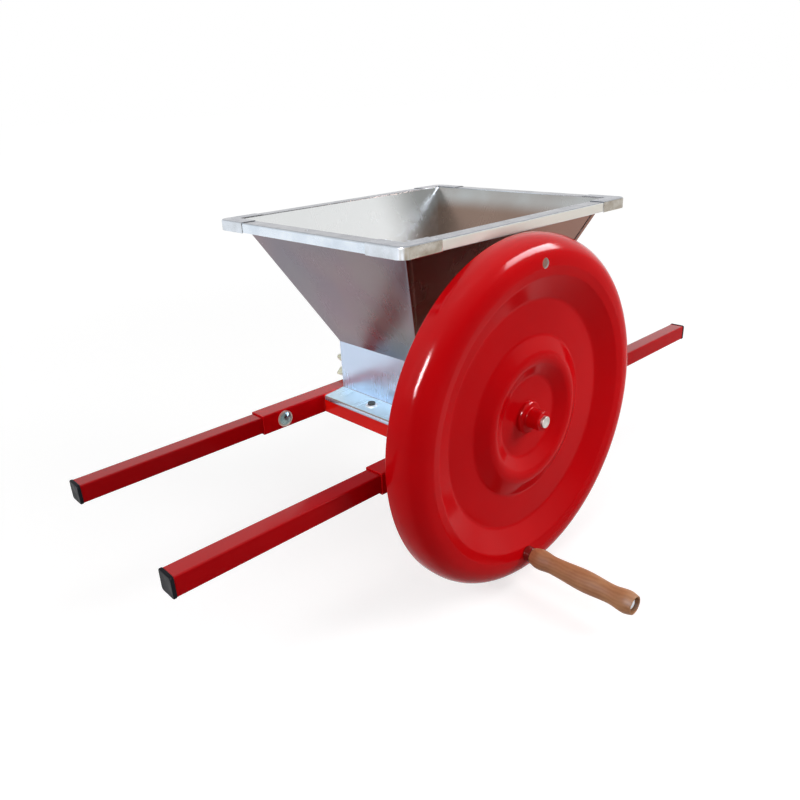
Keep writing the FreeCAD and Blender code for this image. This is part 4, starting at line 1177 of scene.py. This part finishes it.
def turned(name, outline, centre, finish, segments=72, closed=True, lobes=0, lobe=0.0, phase=0.0):
    """Turned about the line through centre along Y; outline is (radius, y, bend, lobed share) corners."""
    mesh = bpy.data.meshes.new(name)
    count = len(outline)
    edges = [(i, (i + 1) % count) for i in range(count if closed else count - 1)]
    mesh.from_pydata([(corner[0], corner[1], 0) for corner in outline], edges, [])
    for label, place in (("bend", 2), ("lobed", 3)):
        values = [corner[place] if len(corner) > place else 0.0 for corner in outline]
        mesh.attributes.new(label, "FLOAT", "POINT").data.foreach_set("value", values)
    made = new_object(name, mesh)
    grow(made, lathe, segments=segments, closed=int(closed), lobes=lobes, lobe_height=lobe, phase=phase,
         centre=centre, finish=finish)
    shape = bmesh.new()
    shape.from_mesh(made.data)
    bmesh.ops.recalc_face_normals(shape, faces=shape.faces)
    shape.to_mesh(made.data)
    shape.free()
    return made


cast_aluminium = flecked("cast_aluminium", 60.0, 5.0, (0.50, 0.50, 0.50), (0.66, 0.66, 0.65),
                         (90.0, 0.42, 0.62), (600.0, 4.0, 0.00012, 0.6), metallic=1.0)
for shaft, phase in (("drive", roller_phase), ("driven", pi - roller_phase + pi / roller_lobes)):
    low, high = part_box(shaft + "_roller")
    outline = [(roller_bore, low.y), (roller_mean, low.y, roller_edge, 1.0),
               (roller_mean, high.y, roller_edge, 1.0), (roller_bore, high.y)]
    centre = (box_middle(shaft + "_shaft").x, 0, shaft_height)
    roller = turned("lobed_roller_" + shaft, outline, centre, cast_aluminium, 160, lobes=roller_lobes,
                    lobe=roller_lobe, phase=phase)
    fit(roller, "cast_aluminium", shaft + "_roller")


# ---------------------------------------------------------------- gears
# A pair of equal nylon gears that turn the rollers against each other, each held on the flats of
# its shaft by a washer and a bolt.
gear_washer_bore = 0.0085
end_bolt_d = 0.008
end_bolt_pitch = 0.00125
end_bolt_shank = 0.002
end_bolt_across = 0.013
end_bolt_head = 0.0053


def seat(piece, node, *place):
    """Moves a fastener to its place and fits it."""
    piece.data.transform(Matrix.Translation(place))
    fit(piece, "zinc_plated_steel", node)


for shaft in ("drive", "driven"):
    dressed(shaft + "_nylon_gear", shaft + "_gear", nylon, "nylon", 0.0005)
    low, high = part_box(shaft + "_end_washer")
    middle = (low + high) / 2
    disc = washer(shaft + "_gear_washer", high.x - low.x, gear_washer_bore, high.y - low.y, zinc)
    seat(disc, shaft + "_end_washer", middle.x, low.y, middle.z)
    low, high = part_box(shaft + "_end_bolt")
    bolt = hex_bolt(shaft + "_gear_bolt", end_bolt_d, end_bolt_pitch, low.y - high.y + end_bolt_head,
                    end_bolt_shank, end_bolt_across, end_bolt_head, zinc)
    seat(bolt, shaft + "_end_bolt", middle.x, high.y - end_bolt_head, middle.z)


# ---------------------------------------------------------------- flywheel
# A single disc pressed from 2 mm steel: flat centre, raised bead, dished plate, stepped face and a
# deep rounded rim with a turned-in hem. Enamelled red, with a spare hole above the shaft.
wheel_sheet = 0.002
wheel_bore = 0.0083
centre_r = 0.057
bead_crest_r = 0.084
plate_r = 0.113
rim_band = 0.0505
step_run = 0.0325
land_run = 0.012
plate_depth = 0.020
centre_depth = 0.021
bead_crest_depth = 0.006
step_depth = 0.0025
press_bend = 0.014
crest_bend = 0.022
rim_round = 0.033
wheel_hem = 0.006
wheel_hem_bend = 0.0029
spare_hole_from_edge = 0.0325
crank_hole = 0.013
low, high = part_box("flywheel_disc")
wheel_r = (high.x - low.x) / 2
wheel_centre = Vector(((low.x + high.x) / 2, 0, (low.z + high.z) / 2))
wheel_front = low.y
wheel_depth = high.y - low.y
step_outer = wheel_r - rim_band
outline = [(wheel_bore, centre_depth), (centre_r, centre_depth, press_bend),
           (bead_crest_r, bead_crest_depth, crest_bend), (plate_r, plate_depth, press_bend),
           (step_outer - step_run, plate_depth, press_bend), (step_outer, step_depth, press_bend),
           (step_outer + land_run, 0.0, press_bend), (wheel_r, 0.0, rim_round),
           (wheel_r, wheel_depth, wheel_hem_bend), (wheel_r - wheel_hem, wheel_depth)]
outline = [(radius, depth + wheel_front, *bend) for radius, depth, *bend in outline]
wheel = turned("pressed_flywheel", outline, wheel_centre, red_enamel, 224, closed=False)
edge_face = max(wheel.data.polygons, key=lambda face: (face.center - wheel_centre).xz.length)
if edge_face.normal.dot((edge_face.center - wheel_centre) * (X + Z)) < 0:
    wheel.data.flip_normals()
thicken(wheel, wheel_sheet, -1.0)
crank_axis = box_middle("grip") * (X + Z)
spare_place = wheel_centre + Z * (wheel_r - spare_hole_from_edge)
cut(wheel, *[rod(place + Y * wheel_front, Y, crank_hole, 0.12) for place in (crank_axis, spare_place)])
keep_off(top_panel, wheel)
fit(wheel, "red_enamel", "flywheel_disc")


# ---------------------------------------------------------------- hub
# A turned hub with a rounded collar, welded to the disc and enamelled with it, and fixed to the
# shaft by a set screw from below. A thick plate backs the disc behind it.
plate_y = wheel_front + centre_depth
hub_r = 0.014
hub_bore = 0.00803
collar = 0.007
hub_edge = 0.0009
hub_fillet = 0.0016
collar_round = 0.005
weld_edge = 0.0003
set_screw_d = 0.006
set_screw_hole = 0.026
spacer_r = 0.012
spacer_bore = 0.0081
spacer_edge = 0.0005
low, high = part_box("flywheel_hub")
collar_r = (high.x - low.x) / 2
outline = [(hub_bore, low.y), (hub_r, low.y, hub_edge), (hub_r, plate_y - collar, hub_fillet),
           (collar_r, plate_y - collar, collar_round), (collar_r, plate_y, weld_edge), (hub_bore, plate_y)]
hub = turned("wheel_hub", outline, wheel_centre, red_enamel)
screw_at = box_middle("hub_set_screw")
cut(hub, rod(Vector((screw_at.x, screw_at.y, wheel_centre.z - hub_r)), Z, set_screw_d, set_screw_hole))
fit(hub, "red_enamel", "flywheel_hub")
dressed("hub_grub_screw", "hub_set_screw", zinc, "zinc_plated_steel", 0.0002)

low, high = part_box("hub_back_plate")
back_r = (high.x - low.x) / 2
outline = [(hub_bore, low.y), (back_r, low.y, weld_edge), (back_r, high.y, 2 * weld_edge), (hub_bore, high.y)]
fit(turned("backing_plate", outline, wheel_centre, red_enamel), "red_enamel", "hub_back_plate")
low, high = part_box("shaft_spacer")
outline = [(spacer_bore, low.y, weld_edge), (spacer_r, low.y, spacer_edge), (spacer_r, high.y, spacer_edge),
           (spacer_bore, high.y, weld_edge)]
fit(turned("spacer_tube", outline, wheel_centre, red_enamel), "red_enamel", "shaft_spacer")


# ---------------------------------------------------------------- crank handle
# A turned beech grip that spins on a long bolt. The bolt passes a short boss welded to the rim and
# is locked by a washer and nut behind the disc.
grip_steps = 72
grip_recess = 0.012
grip_points = [(0.0, 0.0116), (0.09, 0.0145), (0.22, 0.0125), (0.54, 0.0150), (0.79, 0.0129), (0.93, 0.0154),
               (1.0, 0.0130)]
grip_bore = 0.0051
grip_end_r = 0.0130
grip_recess_r = 0.0110
grip_edge = 0.0004
boss_r = 0.011
boss_bore = 0.00503
boss_edge = 0.0010
boss_weld_edge = 0.0002
pin_d = 0.010
pin_edge = 0.0006
pin_head_r = 0.008
pin_head = 0.006
pin_dish_r = 0.0035
pin_dish = 0.0012
pin_washer_bore = 0.0105
pin_nut_across = 0.016

dark_enamel = enamel("dark_red_enamel", (0.15, 0.012, 0.010), (0.24, 0.018, 0.016))
low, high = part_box("crank_boss")
outline = [(boss_bore, low.y), (boss_r, low.y, boss_edge), (boss_r, high.y, boss_weld_edge),
           (boss_bore, high.y)]
fit(turned("crank_pin_boss", outline, crank_axis, dark_enamel), "dark_red_enamel", "crank_boss")

beech, tree = new_material("beech")
place = where(tree)
pith = (-crank_axis.x + 0.020, 0, -crank_axis.z + 0.012)
centred = put(tree, "Mapping", {"Vector": place, "Location": pith, "Rotation": (0.05, 0.0, 0.16)},
              vector_type="TEXTURE")
drift = put(tree, "TexNoise", {"Vector": place, "Scale": 28.0, "Detail": 2.0}).outputs["Color"]
warp = put(tree, "VectorMath", {0: drift, 1: (0.006, 0.006, 0.006)}, operation="MULTIPLY")
wandering = put(tree, "VectorMath", {0: centred, 1: warp}, operation="ADD")
rings = put(tree, "TexWave", {"Vector": wandering, "Scale": 70.0, "Distortion": 2.2, "Detail": 2.0,
                              "Detail Scale": 1.2}, wave_type="RINGS", rings_direction="Y").outputs[1]
grain = mix_colour(tree, rings, (0.36, 0.158, 0.068), (0.43, 0.200, 0.090))
pores = stretched(tree, place, (1400.0, 60.0, 1400.0))
grain = mix_colour(tree, calc(tree, "MULTIPLY", pores, 0.3), grain, (0.27, 0.110, 0.050))
grain = mix_colour(tree, patches(tree, 35.0, 0.0, 0.5), grain, (0.55, 0.295, 0.130))
shade(tree, grain, patches(tree, 70.0, 0.42, 0.58), 0.25, normal=relief(tree, pores, 0.00008, 0.5))


def grip_radius(share):
    """Smooth radius through the grip's points, by a curve that passes each of them."""
    for i in range(len(grip_points) - 1):
        (s0, r0), (s1, r1) = grip_points[i], grip_points[i + 1]
        if share <= s1:
            break
    before = grip_points[max(i - 1, 0)]
    after = grip_points[min(i + 2, len(grip_points) - 1)]
    slope0 = (r1 - before[1]) / (s1 - before[0])
    slope1 = (after[1] - r0) / (after[0] - s0)
    t = (share - s0) / (s1 - s0)
    span = s1 - s0
    return ((2 * t ** 3 - 3 * t ** 2 + 1) * r0 + (t ** 3 - 2 * t ** 2 + t) * span * slope0
            + (3 * t ** 2 - 2 * t ** 3) * r1 + (t ** 3 - t ** 2) * span * slope1)


low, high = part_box("grip")
shares = [step / grip_steps for step in range(1, grip_steps)]
outline = [(grip_bore, high.y), (grip_radius(0) - 0.001, high.y)]
outline += [(grip_radius(share), high.y - share * (high.y - low.y)) for share in shares]
outline += [(grip_end_r, low.y + grip_edge), (grip_end_r - grip_edge, low.y),
            (grip_recess_r + grip_edge, low.y, grip_edge), (grip_recess_r, low.y + grip_recess),
            (grip_bore, low.y + grip_recess)]
fit(turned("turned_grip", outline, crank_axis, beech, 64), "beech", "grip")

low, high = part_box("crank_bolt")
under_head = low.y + pin_head
outline = [(0.0, low.y + pin_dish), (pin_dish_r, low.y + pin_dish, 0.002), (pin_dish_r + 0.002, low.y, 0.001),
           (pin_head_r, low.y, 0.0015), (pin_head_r, under_head, 0.0003), (pin_d / 2, under_head),
           (pin_d / 2, high.y, pin_edge), (0.0, high.y)]
fit(turned("crank_pin_bolt", outline, crank_axis, zinc, closed=False), "zinc_plated_steel", "crank_bolt")
for place in ("end", "back"):
    node = "crank_" + place + "_washer"
    low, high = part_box(node)
    disc = washer("crank_pin_washer_" + place, high.x - low.x, pin_washer_bore, high.y - low.y, zinc)
    seat(disc, node, crank_axis.x, low.y, crank_axis.z)
low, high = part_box("crank_nut")
lock = nut("crank_pin_nut", pin_nut_across, high.y - low.y, pin_d, zinc)
seat(lock, "crank_nut", crank_axis.x, high.y, crank_axis.z)
